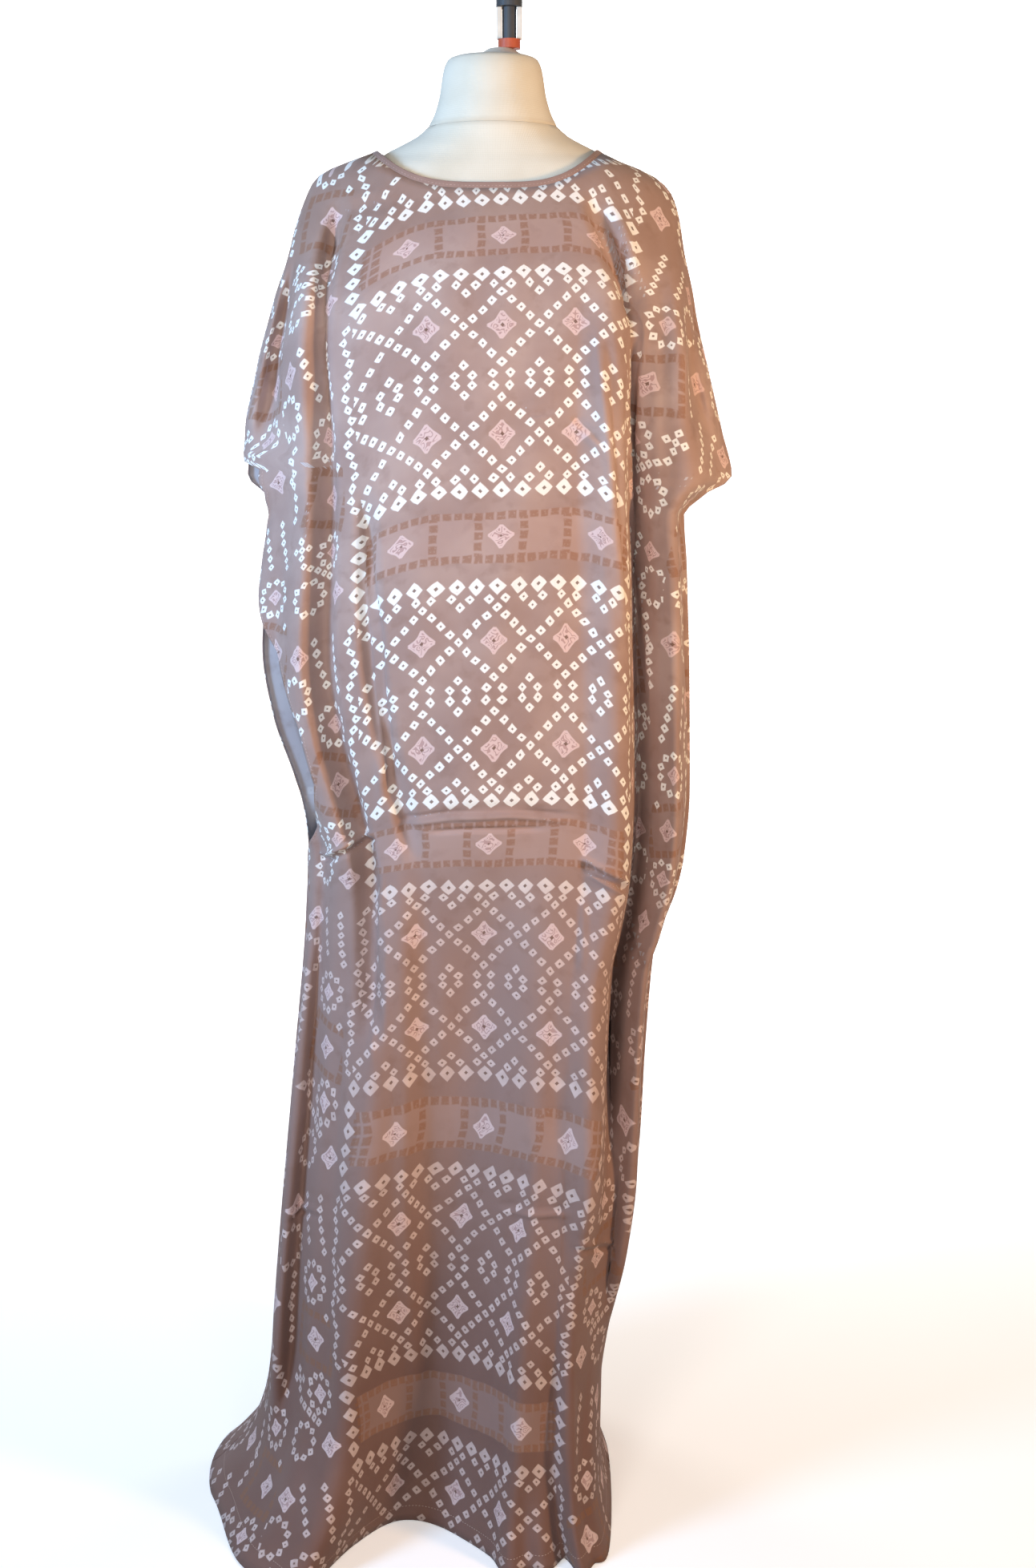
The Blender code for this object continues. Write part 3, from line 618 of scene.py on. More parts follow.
FLAT = {side: flat_panel(side) for side in (-1, 1)}
for side, name in ((-1, "front"), (1, "back")):
    reach = np.ptp(FLAT[side].reshape(-1, 2), axis=0)
    print(name, "laid flat reaches", np.round(reach, 3), "metres")

# %% Read the flat places between the coarse points
def between_points(table, down, across):
    """Values of a coarse grid at fractional rows and columns, on Catmull-Rom curves both ways."""
    def weights(t):
        """How much each of the four nearest rows counts, as a cubic of the share past the second."""
        before, after = -t + 2 * t**2 - t**3, t**3 - t**2
        return np.stack([before, 2 - 5 * t**2 + 3 * t**3, t + 4 * t**2 - 3 * t**3, after]) / 2
    def blend(values, at):
        """Values at fractional rows. The last step is carried on by one row past each end."""
        padded = np.concatenate([2 * values[:1] - values[1:2], values, 2 * values[-1:] - values[-2:-1]])
        low = np.clip(at.astype(int), 0, len(values) - 2)
        share = weights(at - low)
        return sum(share[k][:, None, None] * padded[low + k] for k in range(4))
    rows = blend(table, down * (table.shape[0] - 1))
    return blend(rows.transpose(1, 0, 2), across * (table.shape[1] - 1)).transpose(1, 0, 2)

# %% [markdown]
# ## Creases and folds, given one by one
# The dress has lain folded in its packet, and sharp little creases are left across it at the waist and
# the shin, with fainter ones on the chest. Tucks fan out from the shoulders, where the cloth is carried,
# a long pleat runs down beside the lattice, and broad folds hang in the skirt. Each is a line on the
# flat cloth with a height, which is negative for a trough, and a width. The cloth rises along it as a
# bell curve that dies away at both ends. The back, which the picture doesn't show, gets similar ones.

# %% The table of creases, in millimetres on the flat cloth
Crease = namedtuple("Crease", "side height width line")
CREASES = [
    Crease(-1, 4.9, 2.2, [(-303, 739), (-262, 727), (-229, 709), (-160, 692)]),
    Crease(-1, -4.9, 2.7, [(-300, 747), (-262, 735), (-229, 717), (-160, 700)]),
    Crease(-1, 3.6, 2.2, [(-139, 685), (-79, 677), (-18, 677), (51, 686)]),
    Crease(-1, -3.9, 2.4, [(-150, 679), (-79, 670), (-18, 670), (56, 680)]),
    Crease(-1, -4.2, 2.2, [(-108, 692), (-60, 689), (20, 692)]),
    Crease(-1, 4.9, 2.2, [(50, 722), (78, 735), (115, 756)]),
    Crease(-1, -5.3, 2.5, [(50, 730), (76, 743), (112, 765)]),
    Crease(-1, 3.4, 2.2, [(58, 739), (86, 754), (108, 771)]),
    Crease(-1, 3.0, 2.2, [(-327, 1139), (-290, 1133), (-252, 1129)]),
    Crease(-1, -3.0, 2.7, [(-327, 1147), (-290, 1141), (-250, 1137)]),
    Crease(-1, -3.0, 2.5, [(-30, 1116), (-1, 1112), (69, 1103)]),
    Crease(-1, 2.7, 2.2, [(-30, 1124), (0, 1120), (66, 1111)]),
    Crease(-1, 3.0, 2.2, [(70, 1138), (110, 1150), (170, 1165)]),
    Crease(-1, -3.0, 2.5, [(70, 1146), (110, 1158), (168, 1173)]),
    Crease(-1, -2.7, 2.1, [(2, 268), (19, 278), (44, 276)]),
    Crease(-1, -3.0, 2.1, [(62, 281), (79, 294), (98, 314)]),
    Crease(-1, 2.0, 3.0, [(60, 288), (77, 301), (94, 319)]),
    Crease(-1, -4.0, 4.4, [(-158, 345), (-149, 431), (-142, 491), (-142, 600), (-151, 680)]),
    Crease(-1, 3.4, 4.4, [(-167, 345), (-158, 431), (-151, 491), (-151, 600), (-160, 680)]),
    Crease(-1, 3.0, 5.0, [(-179, 47), (-130, 41), (-88, 34)]),
    Crease(-1, -3.0, 5.0, [(-204, 58), (-160, 56), (-92, 46)]),
    Crease(-1, 3.0, 5.0, [(-167, 50), (-186, 83), (-187, 147), (-192, 215)]),
    Crease(-1, -3.6, 5.0, [(-176, 50), (-196, 83), (-197, 147), (-202, 215)]),
    Crease(-1, 5.0, 7.0, [(114, 55), (140, 90), (158, 130), (166, 184), (187, 265), (202, 345)]),
    Crease(-1, -7.0, 6.0, [(100, 62), (124, 98), (143, 136), (151, 186), (172, 268), (187, 350)]),
    Crease(-1, 3.4, 4.6, [(93, 192), (92, 218), (94, 260), (96, 303), (100, 371), (104, 422),
                          (112, 520)]),
    Crease(-1, -6.0, 6.0, [(103, 192), (102, 218), (104, 260), (107, 303), (112, 371), (118, 422),
                           (126, 520)]),
    Crease(-1, 4.0, 5.0, [(118, 219), (134, 260), (156, 316), (194, 421), (213, 477), (226, 548),
                          (231, 633)]),
    Crease(-1, 3.4, 4.4, [(196, 812), (222, 828), (252, 850)]),
    Crease(-1, -3.4, 4.4, [(196, 822), (220, 838), (250, 860)]),
    Crease(-1, -4.0, 13.0, [(-112, 690), (-116, 791), (-117, 926), (-113, 1076), (-109, 1222),
                            (-101, 1440)]),
    Crease(-1, 3.5, 12.0, [(-137, 690), (-139, 788), (-142, 923), (-140, 1067), (-134, 1214),
                           (-124, 1440)]),
    Crease(-1, 3.2, 3.6, [(-158, 732), (-163, 797), (-176, 876), (-174, 960)]),
    Crease(-1, 2.6, 4.0, [(54, 765), (55, 800), (54, 845)]),
    Crease(-1, 3.4, 14.0, [(-213, 837), (-204, 976), (-207, 1109), (-221, 1252), (-235, 1420)]),
    Crease(-1, -4.0, 13.0, [(-8, 1000), (-3, 1198), (8, 1440)]),
    Crease(-1, 5.0, 12.0, [(34, 1000), (60, 1190), (88, 1334), (101, 1450)]),
    Crease(1, 2.6, 3.4, [(-310, 742), (-180, 728), (-40, 716), (70, 714)]),
    Crease(1, -2.6, 3.8, [(-300, 750), (-180, 736), (-40, 724), (60, 722)]),
    Crease(1, 2.4, 3.4, [(120, 724), (230, 738), (320, 741)]),
    Crease(1, 2.2, 3.4, [(-240, 1150), (-90, 1142), (40, 1148)]),
    Crease(1, -2.2, 4.0, [(-230, 1158), (-90, 1150), (50, 1156)]),
    Crease(1, 2.6, 5.0, [(-190, 30), (-140, 26), (-95, 22)]),
    Crease(1, 2.6, 5.0, [(190, 30), (140, 26), (95, 22)]),
    Crease(1, 3.0, 5.0, [(150, 90), (160, 200), (150, 330), (158, 480)]),
    Crease(1, -3.0, 5.0, [(-150, 90), (-165, 200), (-150, 330), (-162, 480)]),
    Crease(1, 6.0, 13.0, [(-130, 640), (-140, 800), (-136, 1100), (-120, 1440)]),
    Crease(1, -5.0, 12.0, [(60, 520), (72, 800), (66, 1100), (80, 1440)]),
    Crease(1, 5.0, 13.0, [(128, 560), (150, 800), (146, 1100), (160, 1440)]),
]

END_SHARE = 1 / 6

def crease_heights(side, flat):
    """How far the creases raise each point, in metres: a bell curve of the distance to the line, which
    fades over the first and last sixth of its length."""
    raised = np.zeros(flat.shape[:2])
    for crease in CREASES:
        if crease.side != side:
            continue
        line = np.array(crease.line, float) * MM
        starts, runs = line[:-1], np.diff(line, axis=0)
        lengths = np.linalg.norm(runs, axis=1)
        offset = flat[..., None, :] - starts
        share = np.clip((offset * runs).sum(-1) / lengths**2, 0, 1)
        apart = np.linalg.norm(offset - share[..., None] * runs, axis=-1)
        nearest = apart.argmin(-1)
        gone = np.concatenate([[0], lengths.cumsum()[:-1]]) + share * lengths
        place = np.take_along_axis(gone, nearest[..., None], -1)[..., 0] / lengths.sum()
        fade = ramp(place / END_SHARE) * ramp((1 - place) / END_SHARE)
        raised += crease.height * MM * fade * np.exp(-(apart.min(-1) / (crease.width * MM)) ** 2)
    return raised

# %% [markdown]
# ## The two panels
# A cloth that shows needs both of its sides, a thickness at its hems and a soft, uneven surface. Each
# panel is a closed shell under a millimetre thick: an outer grid, an inner grid and a rim between them.
# Its rows stand closer at the packet creases, and its columns at the pleats. Long shallow waves of about
# a millimetre keep it from looking like a machined surface, and at the hems, where the cloth is folded
# over, the shell gets thicker.

# %% The grid of a panel
CLOTH_THICK = 0.8 * MM
HEM_FOLD, HEM_EXTRA = 10 * MM, 0.35 * MM
OFF_SOLID, OFF_FLOOR = 0.25 * MM, 0.3 * MM
CLOTH_COLUMNS = 170
# In millimetres: the cloth's width, the run of its middle from neck to hem, and how far apart rows are
CLOTH_WIDTH, CLOTH_RUN, ROW_GAP = 980.0, 1450.0, 7.6
# Shares of the way across where the columns of a hem stand, and where the other columns start
HEM_SHARES = np.array([0.0, 0.0035, 0.0085, 0.0104, 0.0125])
INNER_START = 0.017
# How far in the creases and waves reach their full height: in shares from the sides and from the neck,
# and in metres from the floor
CALM_SIDE, CALM_NECK, CALM_FLOOR = 0.03, 0.02, 0.06
# Where the rows stand closer, in millimetres below the shoulder line, and how far apart they are there
CREASED = [(264, 318, 2.0), (664, 774, 2.0), (1098, 1178, 2.8)]
# Where the columns stand closer, as shares of the way across
PLEATED, PLEAT_DENSITY = [(0.30, 0.37), (0.60, 0.69)], 1.9
# The waves that make the cloth uneven: length in metres, height in millimetres, and how many
WAVES = [(0.23, 1.5, 5), (0.11, 0.9, 6), (0.055, 0.42, 7)]

def row_places():
    """Shares of the way down: the rows are counted up from the gap that each height asks for."""
    fine = np.linspace(0, 1, 4001)
    down = fine * CLOTH_RUN + FRONT_NECK_DROP / MM
    gap = np.full_like(fine, ROW_GAP)
    for start, end, close in CREASED:
        gap[(down > start) & (down < end)] = close
    steps = np.concatenate([[0], np.cumsum(np.diff(fine) * CLOTH_RUN / gap[1:])])
    count = int(round(steps[-1]))
    return np.interp(np.linspace(0, steps[-1], count + 1), steps, fine)

def column_places():
    """Shares of the way across: closer together where there are pleats, and at each edge for the hem."""
    fine = np.linspace(INNER_START, 1 - INNER_START, 2001)
    dense = np.ones_like(fine)
    for start, end in PLEATED:
        dense[(fine > start) & (fine < end)] = PLEAT_DENSITY
    steps = np.concatenate([[0], np.cumsum(dense[1:])])
    count = CLOTH_COLUMNS + 1 - 2 * len(HEM_SHARES)
    inner = np.interp(np.linspace(0, steps[-1], count), steps, fine)
    return np.concatenate([HEM_SHARES, inner, 1 - HEM_SHARES[::-1]])

def unevenness(flat, seed):
    """Shallow waves over the flat cloth: a sum of sines of many directions and lengths, in metres."""
    chance = np.random.default_rng(seed)
    raised = np.zeros(flat.shape[:2])
    for length, height, count in WAVES:
        for _ in range(count):
            angle, phase = chance.uniform(-0.6, 0.6), chance.uniform(0, 2 * np.pi)
            way = np.array([np.cos(angle), np.sin(angle) * 0.6]) * 2 * np.pi
            way /= length * chance.uniform(0.8, 1.25)
            raised += height * MM / np.sqrt(count) * np.sin(flat @ way + phase)
    return raised

def calm_at_edges(across, down, height):
    """0 along the side edges, the neck edge and the floor, and 1 a little way in from them."""
    at_side = ramp(np.minimum(across, 1 - across) / CALM_SIDE)[None, :]
    return at_side * ramp(down / CALM_NECK)[:, None] * ramp(height / CALM_FLOOR)

def hem_share(across, down):
    """1 where the cloth is folded over at the sides and at the bottom, and 0 elsewhere."""
    from_side = np.minimum(across, 1 - across)[None, :] * CLOTH_WIDTH * MM
    from_hem = (1 - down)[:, None] * CLOTH_RUN * MM
    at_side = ramp((HEM_FOLD - from_side) / (1 * MM) + 0.5)
    return np.maximum(at_side, ramp((HEM_FOLD - from_hem) / (2 * MM) + 0.5))

def cloth_shell(side):
    """The outer and inner points of a panel and its flat places, as grids of the same shape."""
    across, down = column_places(), row_places()
    points = panel_points(places_at(across, side, 1201), down, side)
    flat = between_points(FLAT[side], down, across)
    outward = unit(np.cross(np.gradient(points, axis=1), np.gradient(points, axis=0))) * side
    outward *= np.sign((outward[..., 1] * side).mean())
    raised = crease_heights(side, flat) + unevenness(flat, 7 + side)
    raised *= calm_at_edges(across, down, points[..., 2])
    inner = points + outward * (raised + OFF_SOLID)[..., None]
    outer = inner + outward * (CLOTH_THICK + HEM_EXTRA * hem_share(across, down))[..., None]
    for shell in (inner, outer):
        shell[..., 0], shell[..., 1] = clear_of_torso(shell[..., 0], shell[..., 1], shell[..., 2])
        shell[..., 2] = np.maximum(shell[..., 2], OFF_FLOOR)
    outer[..., 2] = np.maximum(outer[..., 2], inner[..., 2])
    return outer, inner, flat

# %% [markdown]
# ## Where the print lies on the cloth
# The print repeats every 315 mm down the dress: a band of brown checks with roses, then a field of dots
# set as a lattice of diamonds. It was printed a little off the straight, so the middle of the pattern
# drifts across the front on its way down. Three short tables chart that, read against a ruler.

# %% From flat places to the print's own places
FIRST_BAND = 95
FRONT_ROWS = [
    (-40, -145), (55, -50.5), (95, 0), (135, 50.5), (242, 157.5), (349, 264.5), (393, 315),
    (442, 365.5), (550, 472.5), (660, 579.5), (705, 630), (752, 680.5), (860, 787.5), (968, 894.5),
    (1030, 945), (1083, 995.5), (1195, 1102.5), (1305, 1209.5), (1360, 1260), (1700, 1600),
]
FRONT_MIDDLE = [
    (95, 8), (187, 0), (293, -7), (393, -13), (500, -25), (600, -30), (705, -42), (815, -53),
    (915, -53), (1030, -50), (1142, -73), (1248, -75), (1360, -70),
]
# How much lower the print lies at its border than in its middle, where the shoulders pull the middle up
FRONT_BOW = [(0, 40), (130, 34), (380, 27), (450, 22), (650, 20), (1000, 12), (1500, 8)]
BOW_START, BOW_REACH, BOW_POWER, SLANT_PAST_BORDER = 62, 85, 1.7, 0.55

def print_places(side, flat):
    """The print's own coordinates in metres: across from its middle line, and down from the middle of
    the first band. On the back the print runs straight."""
    across, down = flat[..., 0] / MM, flat[..., 1] / MM
    if side > 0:
        return np.stack([across, down - FIRST_BAND], axis=-1) * MM
    rows, middle, bow = (np.array(table, float).T for table in (FRONT_ROWS, FRONT_MIDDLE, FRONT_BOW))
    across = across - np.interp(down, *middle)
    out = np.maximum(np.abs(across) - BOW_START, 0) / BOW_REACH
    sag = np.where(out < 1, out**BOW_POWER, 1 + SLANT_PAST_BORDER * (out - 1))
    sag = sag * np.interp(down, *bow)
    return np.stack([across, np.interp(down - sag, *rows)], axis=-1) * MM

# %% [markdown]
# ## The print itself
# Such cloth imitates tie-dyeing: thousands of small undyed diamonds, each with a speck in it where the
# thread held the cloth. Nothing is stored as a picture. A dot, a line of dots, a ring and a square are
# each a distance, in millimetres on the cloth, and the nearest one wins. Folding the coordinates over
# and over makes one quarter of the lattice serve for all of it. A few millimetres of noise in the
# coordinates make it look made by hand.

# %% Distances to the print's motifs
# The print's main sizes in millimetres: its repeat down the cloth, and the width and the half height of
# a diamond of the lattice
REPEAT, HALF_REPEAT = 315.0, 157.5
DIAMOND_WIDE, HALF_DIAMOND_HIGH = 73.0, 53.0
# How far apart the big dots and the brown squares of a row stand, and how large the motifs are
BIG_PITCH, SQUARE_PITCH = 20.6, 10.8
SMALL_DOT, BIG_DOT, ROSE = 5.0, 8.6, 15.6
# How far to each side the lattice, its border of small dots, its column of big dots and a band reach
LATTICE_END, BORDER_COLUMN, BIG_COLUMN, BAND_END = 146.0, 149.0, 151.0, 141.0
# How far from the repeat's middle the rows of big dots lie, and how far from a band's middle its edge
# and its rows of squares do
BIG_ROW, BAND_EDGE, SQUARE_ROW = 107.0, 27.0, 23.0
HALF_SQUARE = 4.0
# A distance that is added where a motif may not stand
FAR = 99.0

def apart(finish, delta):
    """Distance of a blunted diamond: mostly the sum of both sides' lengths, and a little the straight
    one."""
    delta = finish.vector("ABSOLUTE", delta)
    both = finish.vector("DOT_PRODUCT", delta, (0.8, 0.8, 0.0), out=1)
    return finish.vector("LENGTH", delta, out=1).math("MULTIPLY_ADD", 0.2, both)

def star(finish, delta):
    """Distance of a star with four round points: a diamond with its sides pulled in and its tips cut."""
    delta = finish.vector("ABSOLUTE", delta)
    both = finish.vector("DOT_PRODUCT", delta, (1.0, 1.0, 0.0), out=1)
    straight = finish.vector("LENGTH", delta, out=1)
    return (both * (both / straight * 0.35 + 0.65)).high(straight * 1.14)

def dot_at(finish, where, x, y):
    """Distance to a dot whose middle lies at x and y."""
    return apart(finish, finish.vector("SUBTRACT", where, (x, y, 0.0)))

def flower_at(finish, where, x, y):
    """Distance to a star-shaped flower whose middle lies at x and y."""
    return star(finish, finish.vector("SUBTRACT", where, (x, y, 0.0)))

def dot_line(finish, where, start, end, gaps):
    """Distance to the nearest of a row of dots, by rounding how far along the row a point lies."""
    run = (end[0] - start[0], end[1] - start[1], 0.0)
    offset = finish.vector("SUBTRACT", where, (*start, 0.0))
    share = finish.vector("DOT_PRODUCT", offset, run, out=1) * (gaps / (run[0] ** 2 + run[1] ** 2))
    step = share.math("ROUND").high(0.0).low(float(gaps)) * (1 / gaps)
    along = finish.add("VectorMath", {"operation": "SCALE"}, {0: run, "Scale": step})
    return apart(finish, finish.vector("SUBTRACT", offset, along))

def dot_ring(finish, where, x, y, radius, count):
    """Distance to the nearest of a ring of dots, by folding the angle round its middle."""
    offset = finish.vector("SUBTRACT", where, (x, y, 0.0))
    right, up = finish.split(offset)
    sideways = (up.math("ARCTAN2", right) * radius).to_multiple(2 * np.pi * radius / count)
    return apart(finish, finish.join(sideways, finish.vector("LENGTH", offset, out=1) - radius))

def square_line(across, along, half, length, low, high):
    """How far inside the nearest of a row of squares a point lies, negative outside them."""
    return (half - across.high(along)).low(length - low).low(high - length)

# %% The lattice, the bands and the border columns
def print_frame(finish):
    """The print's coordinates in millimetres, wobbled, and folded into one repeat."""
    raw = finish.add("UVMap", {"uv_map": "print"})
    where = finish.add("VectorMath", {"operation": "SCALE"}, {0: raw, "Scale": 1000.0})
    sockets = {"Vector": where, "Scale": 0.035, "Detail": 2.0}
    wobble = finish.add("TexNoise", {"noise_dimensions": "2D"}, sockets, out=1)
    shift = finish.vector("MULTIPLY_ADD", wobble, (5.0, 5.0, 0.0), (-2.5, -2.5, 0.0))
    where = finish.vector("ADD", where, shift)
    u, v = finish.split(where)
    mid = v.math("WRAP", REPEAT, 0.0) - HALF_REPEAT
    return {"where": where, "u": u, "v": v, "side": abs(u), "mid": mid, "half": abs(mid)}

def lattice_dots(finish, at):
    """Distance to the small dots of the lattice, which ends at its border columns."""
    where = finish.join(at["u"].to_multiple(DIAMOND_WIDE), at["half"])
    corner = (DIAMOND_WIDE / 2, HALF_DIAMOND_HIGH)
    dots = dot_line(finish, where, (0.0, 86.6), corner, 4)
    dots = dots.low(dot_line(finish, where, corner, (0.0, 16.8), 4))
    for x, y in ((8.0, 6.0), (8.0, 95.0), (36.5, 14.8), (28.0, 5.0), (27.0, 95.0), (36.5, 86.6)):
        dots = dots.low(dot_at(finish, where, x, y))
    return dots + at["side"].rise(LATTICE_END, LATTICE_END + 1) * FAR

def big_dots(finish, at):
    """Distance to the big diamonds: a row above and below each band, and a column at its ends."""
    step = (at["side"] * (1 / BIG_PITCH)).math("ROUND").low(7.0) * BIG_PITCH
    row = apart(finish, finish.join(at["side"] - step, at["half"] - BIG_ROW))
    column = (167.6 - at["half"]).to_multiple(20.2)
    column = apart(finish, finish.join(at["side"] - BIG_COLUMN, column))
    return row.low(column + at["half"].rise(116.0, 108.0) * FAR)

def border_dots(finish, at):
    """Distance to the small dots of the border, a column that swings a little beside the lattice."""
    swing = at["half"].to_multiple(HALF_DIAMOND_HIGH) * 0.3
    column = finish.join(at["side"] - BORDER_COLUMN - swing, at["half"].to_multiple(11.4))
    return apart(finish, column) + at["half"].rise(98.0, 99.0) * FAR

def roses(finish, at):
    """Distance to the middle of the nearest rose of the lattice and of the band."""
    off_row = at["half"] - HALF_DIAMOND_HIGH
    lattice = star(finish, finish.join(at["u"].to_multiple(DIAMOND_WIDE), off_row))
    step = (at["side"] * 0.01).math("ROUND").low(1.0) * 100.0
    band = star(finish, finish.join(at["side"] - step, HALF_REPEAT - at["half"])) + 1.0
    return (lattice + at["side"].rise(126.0, 127.0) * FAR).low(band)

def check_squares(at):
    """How far inside a brown square of the bands a point lies: rows along them and columns across."""
    from_band = HALF_REPEAT - at["half"]
    across = abs(from_band - SQUARE_ROW)
    along = at["u"].to_multiple(SQUARE_PITCH)
    row = square_line(across, along, HALF_SQUARE, at["side"], -1.0, BAND_END)
    column = abs(abs(at["side"] - 44.75) - 22.25).low(abs(abs(at["side"] - 134.5) - 5.5))
    along = from_band.to_multiple(SQUARE_PITCH)
    cells = square_line(column, along, HALF_SQUARE, from_band, -1.0, SQUARE_ROW - 2)
    return row.high(cells)

# %% [markdown]
# ## The fields at the sides
# Outside the border the motifs are strewn: rings of dots round a flower, tilted boxes of brown checks
# with a rose in them, little crosses and slanting trails. They repeat down the cloth with the bands and
# again every hundred millimetres outwards, where they are moved by half a repeat.

# %% Motifs of the side fields
FIELD_START, FIELD_WIDTH = 164.0, 100.0
# In one cell: rings of dots as (x, y, radius, count), dots, and trails as (start, end, gaps)
RINGS = [(33.0, 74.0, 19.0, 10), (64.0, 124.0, 18.0, 10), (84.0, -86.0, 20.0, 11)]
SINGLE_DOTS = [(76.0, 60.0), (66.0, 60.0), (86.0, 60.0), (76.0, 50.0), (76.0, 70.0),
               (8.0, -10.0), (88.0, -20.0)]
TRAILS = [((72.0, 82.0), (38.0, 104.0), 4), ((10.0, -84.0), (22.0, -140.0), 5),
          ((40.0, -92.0), (54.0, -140.0), 4), ((78.0, -50.0), (92.0, 20.0), 6)]

def field_frame(finish, at):
    """Coordinates inside one cell of the side fields, which is 100 by 315 mm."""
    out = at["side"] - FIELD_START
    cell = (out * (1 / FIELD_WIDTH)).math("FLOOR").high(0.0)
    lean = at["u"].math("SIGN") * 52.0
    down = (at["v"] + cell * HALF_REPEAT + lean).math("WRAP", REPEAT, 0.0) - HALF_REPEAT
    return finish.join(out - cell * FIELD_WIDTH, down)

def field_motifs(finish, at):
    """Distances to the field's dots and roses, and how far inside a brown square a point lies."""
    where = field_frame(finish, at)
    dots = dot_ring(finish, where, 31.0, -48.0, 20.5, 11)
    for x, y, radius, count in RINGS:
        dots = dots.low(dot_ring(finish, where, x, y, radius, count))
    for x, y in SINGLE_DOTS:
        dots = dots.low(dot_at(finish, where, x, y))
    for start, end, gaps in TRAILS:
        dots = dots.low(dot_line(finish, where, start, end, gaps))
    rose = flower_at(finish, where, 30.0, 15.0).low(flower_at(finish, where, 16.0, 128.0))
    rose = rose.low(flower_at(finish, where, 76.0, -128.0))
    flower = flower_at(finish, where, 31.0, -48.0).low(flower_at(finish, where, 33.0, 74.0))
    turned = finish.vector("SUBTRACT", where, (32.0, 15.0, 0.0))
    sockets = {"Vector": turned, "Angle": np.radians(18)}
    turned = finish.add("VectorRotate", {"rotation_type": "Z_AXIS"}, sockets)
    x, y = finish.split(turned)
    x, y = abs(x), abs(y)
    box = square_line(abs(y - 27.0), x.to_multiple(11.0), 4.2, x, -1.0, 38.0)
    box = box.high(square_line(abs(x - 34.0), y.to_multiple(11.0), 4.2, y, -1.0, 30.0))
    inside = (1 - at["side"].rise(FIELD_START - 1, FIELD_START + 1)) * FAR
    return dots + inside, rose.low(flower + 4.0) + inside, box - inside

# %% [markdown]
# ## Cotton
# The cloth is thin plain-woven cotton, dyed a dusty rose that runs to brown. Its dots are the undyed
# cloth, warm white, and the roses a pale pink with little wandering lines. Its ground is blotched. The
# lower half is painted in shade, for the dimmer light near the floor: its dots are duller and its
# ground browner and darker, and the top of the chest is painted darker too. The wrong side is greyer and
# shows the print only faintly, and it is painted paler still, as light that shines through the thin
# cotton. The weave is too fine to model, so it is a bump of two crossed waves of threads, with thicker
# yarns here and there.

# %% Make the printed cotton, its right side and its wrong side
def edge_of(distance, radius, blur):
    """1 inside a motif of that radius and 0 outside it."""
    return distance.rise(radius + blur, radius - blur)

def cloth_ground(finish, at, cloudy, blotch, colours):
    """The dyed ground, cloudy and blotched, with painted shade: darker and browner at the top of the
    chest and down towards the floor.
    """
    light, dark, low = (paint(*colour) for colour in colours)
    ground = finish.mix(cloudy.rise(0.35, 0.68), dark, light)
    # Painted shade: from the chest down the ground turns to the darker low colour, for the dimmer light
    # near the floor
    ground = finish.mix(at["v"].rise(150.0, 1000.0), ground, low)
    # Painted shade: the ground is darker and browner at the top of the chest and at the shoulders
    ground = finish.mix(at["v"].rise(60.0, -90.0) * 0.5, ground, paint(150, 118, 102))
    # Painted shade, patchy with the clouds: a deeper brown lower down towards the floor
    shade_toward_floor = at["v"].rise(850.0, 1300.0) * 0.85
    ground = finish.mix(shade_toward_floor * (0.6 + cloudy * 0.6), ground, paint(118, 84, 74))
    return finish.mix(blotch.rise(0.5, 0.75) * 0.3, ground, paint(132, 98, 84))

def with_roses(finish, at, rose, ground, strength):
    """Pale roses laid on the ground, with lines that wander where a noise crosses whole steps."""
    wander = finish.noise(at["where"], 0.11, 1.0).math("MULTIPLY", 7.0).math("FRACT")
    line = abs(wander - 0.5).rise(0.26, 0.14) * edge_of(rose, ROSE - 3.0, 1.2)
    petal = edge_of(rose, ROSE, 0.9)
    ground = finish.mix(petal * strength * 0.9, ground, paint(230, 203, 201))
    return finish.mix(petal * line * strength * 0.6, ground, paint(164, 120, 116))

THREAD_PITCH = 0.42

def weave(finish, at):
    """The height of the woven surface: two crossed sines of the threads, and long slubs of noise."""
    u, v = finish.split(at["where"])
    warp, weft = ((way * (2 * np.pi / THREAD_PITCH)).math("SINE") for way in (u, v))
    return warp * weft * 0.5 + finish.noise(finish.join(u * 0.9, v * 0.05), 1.0)

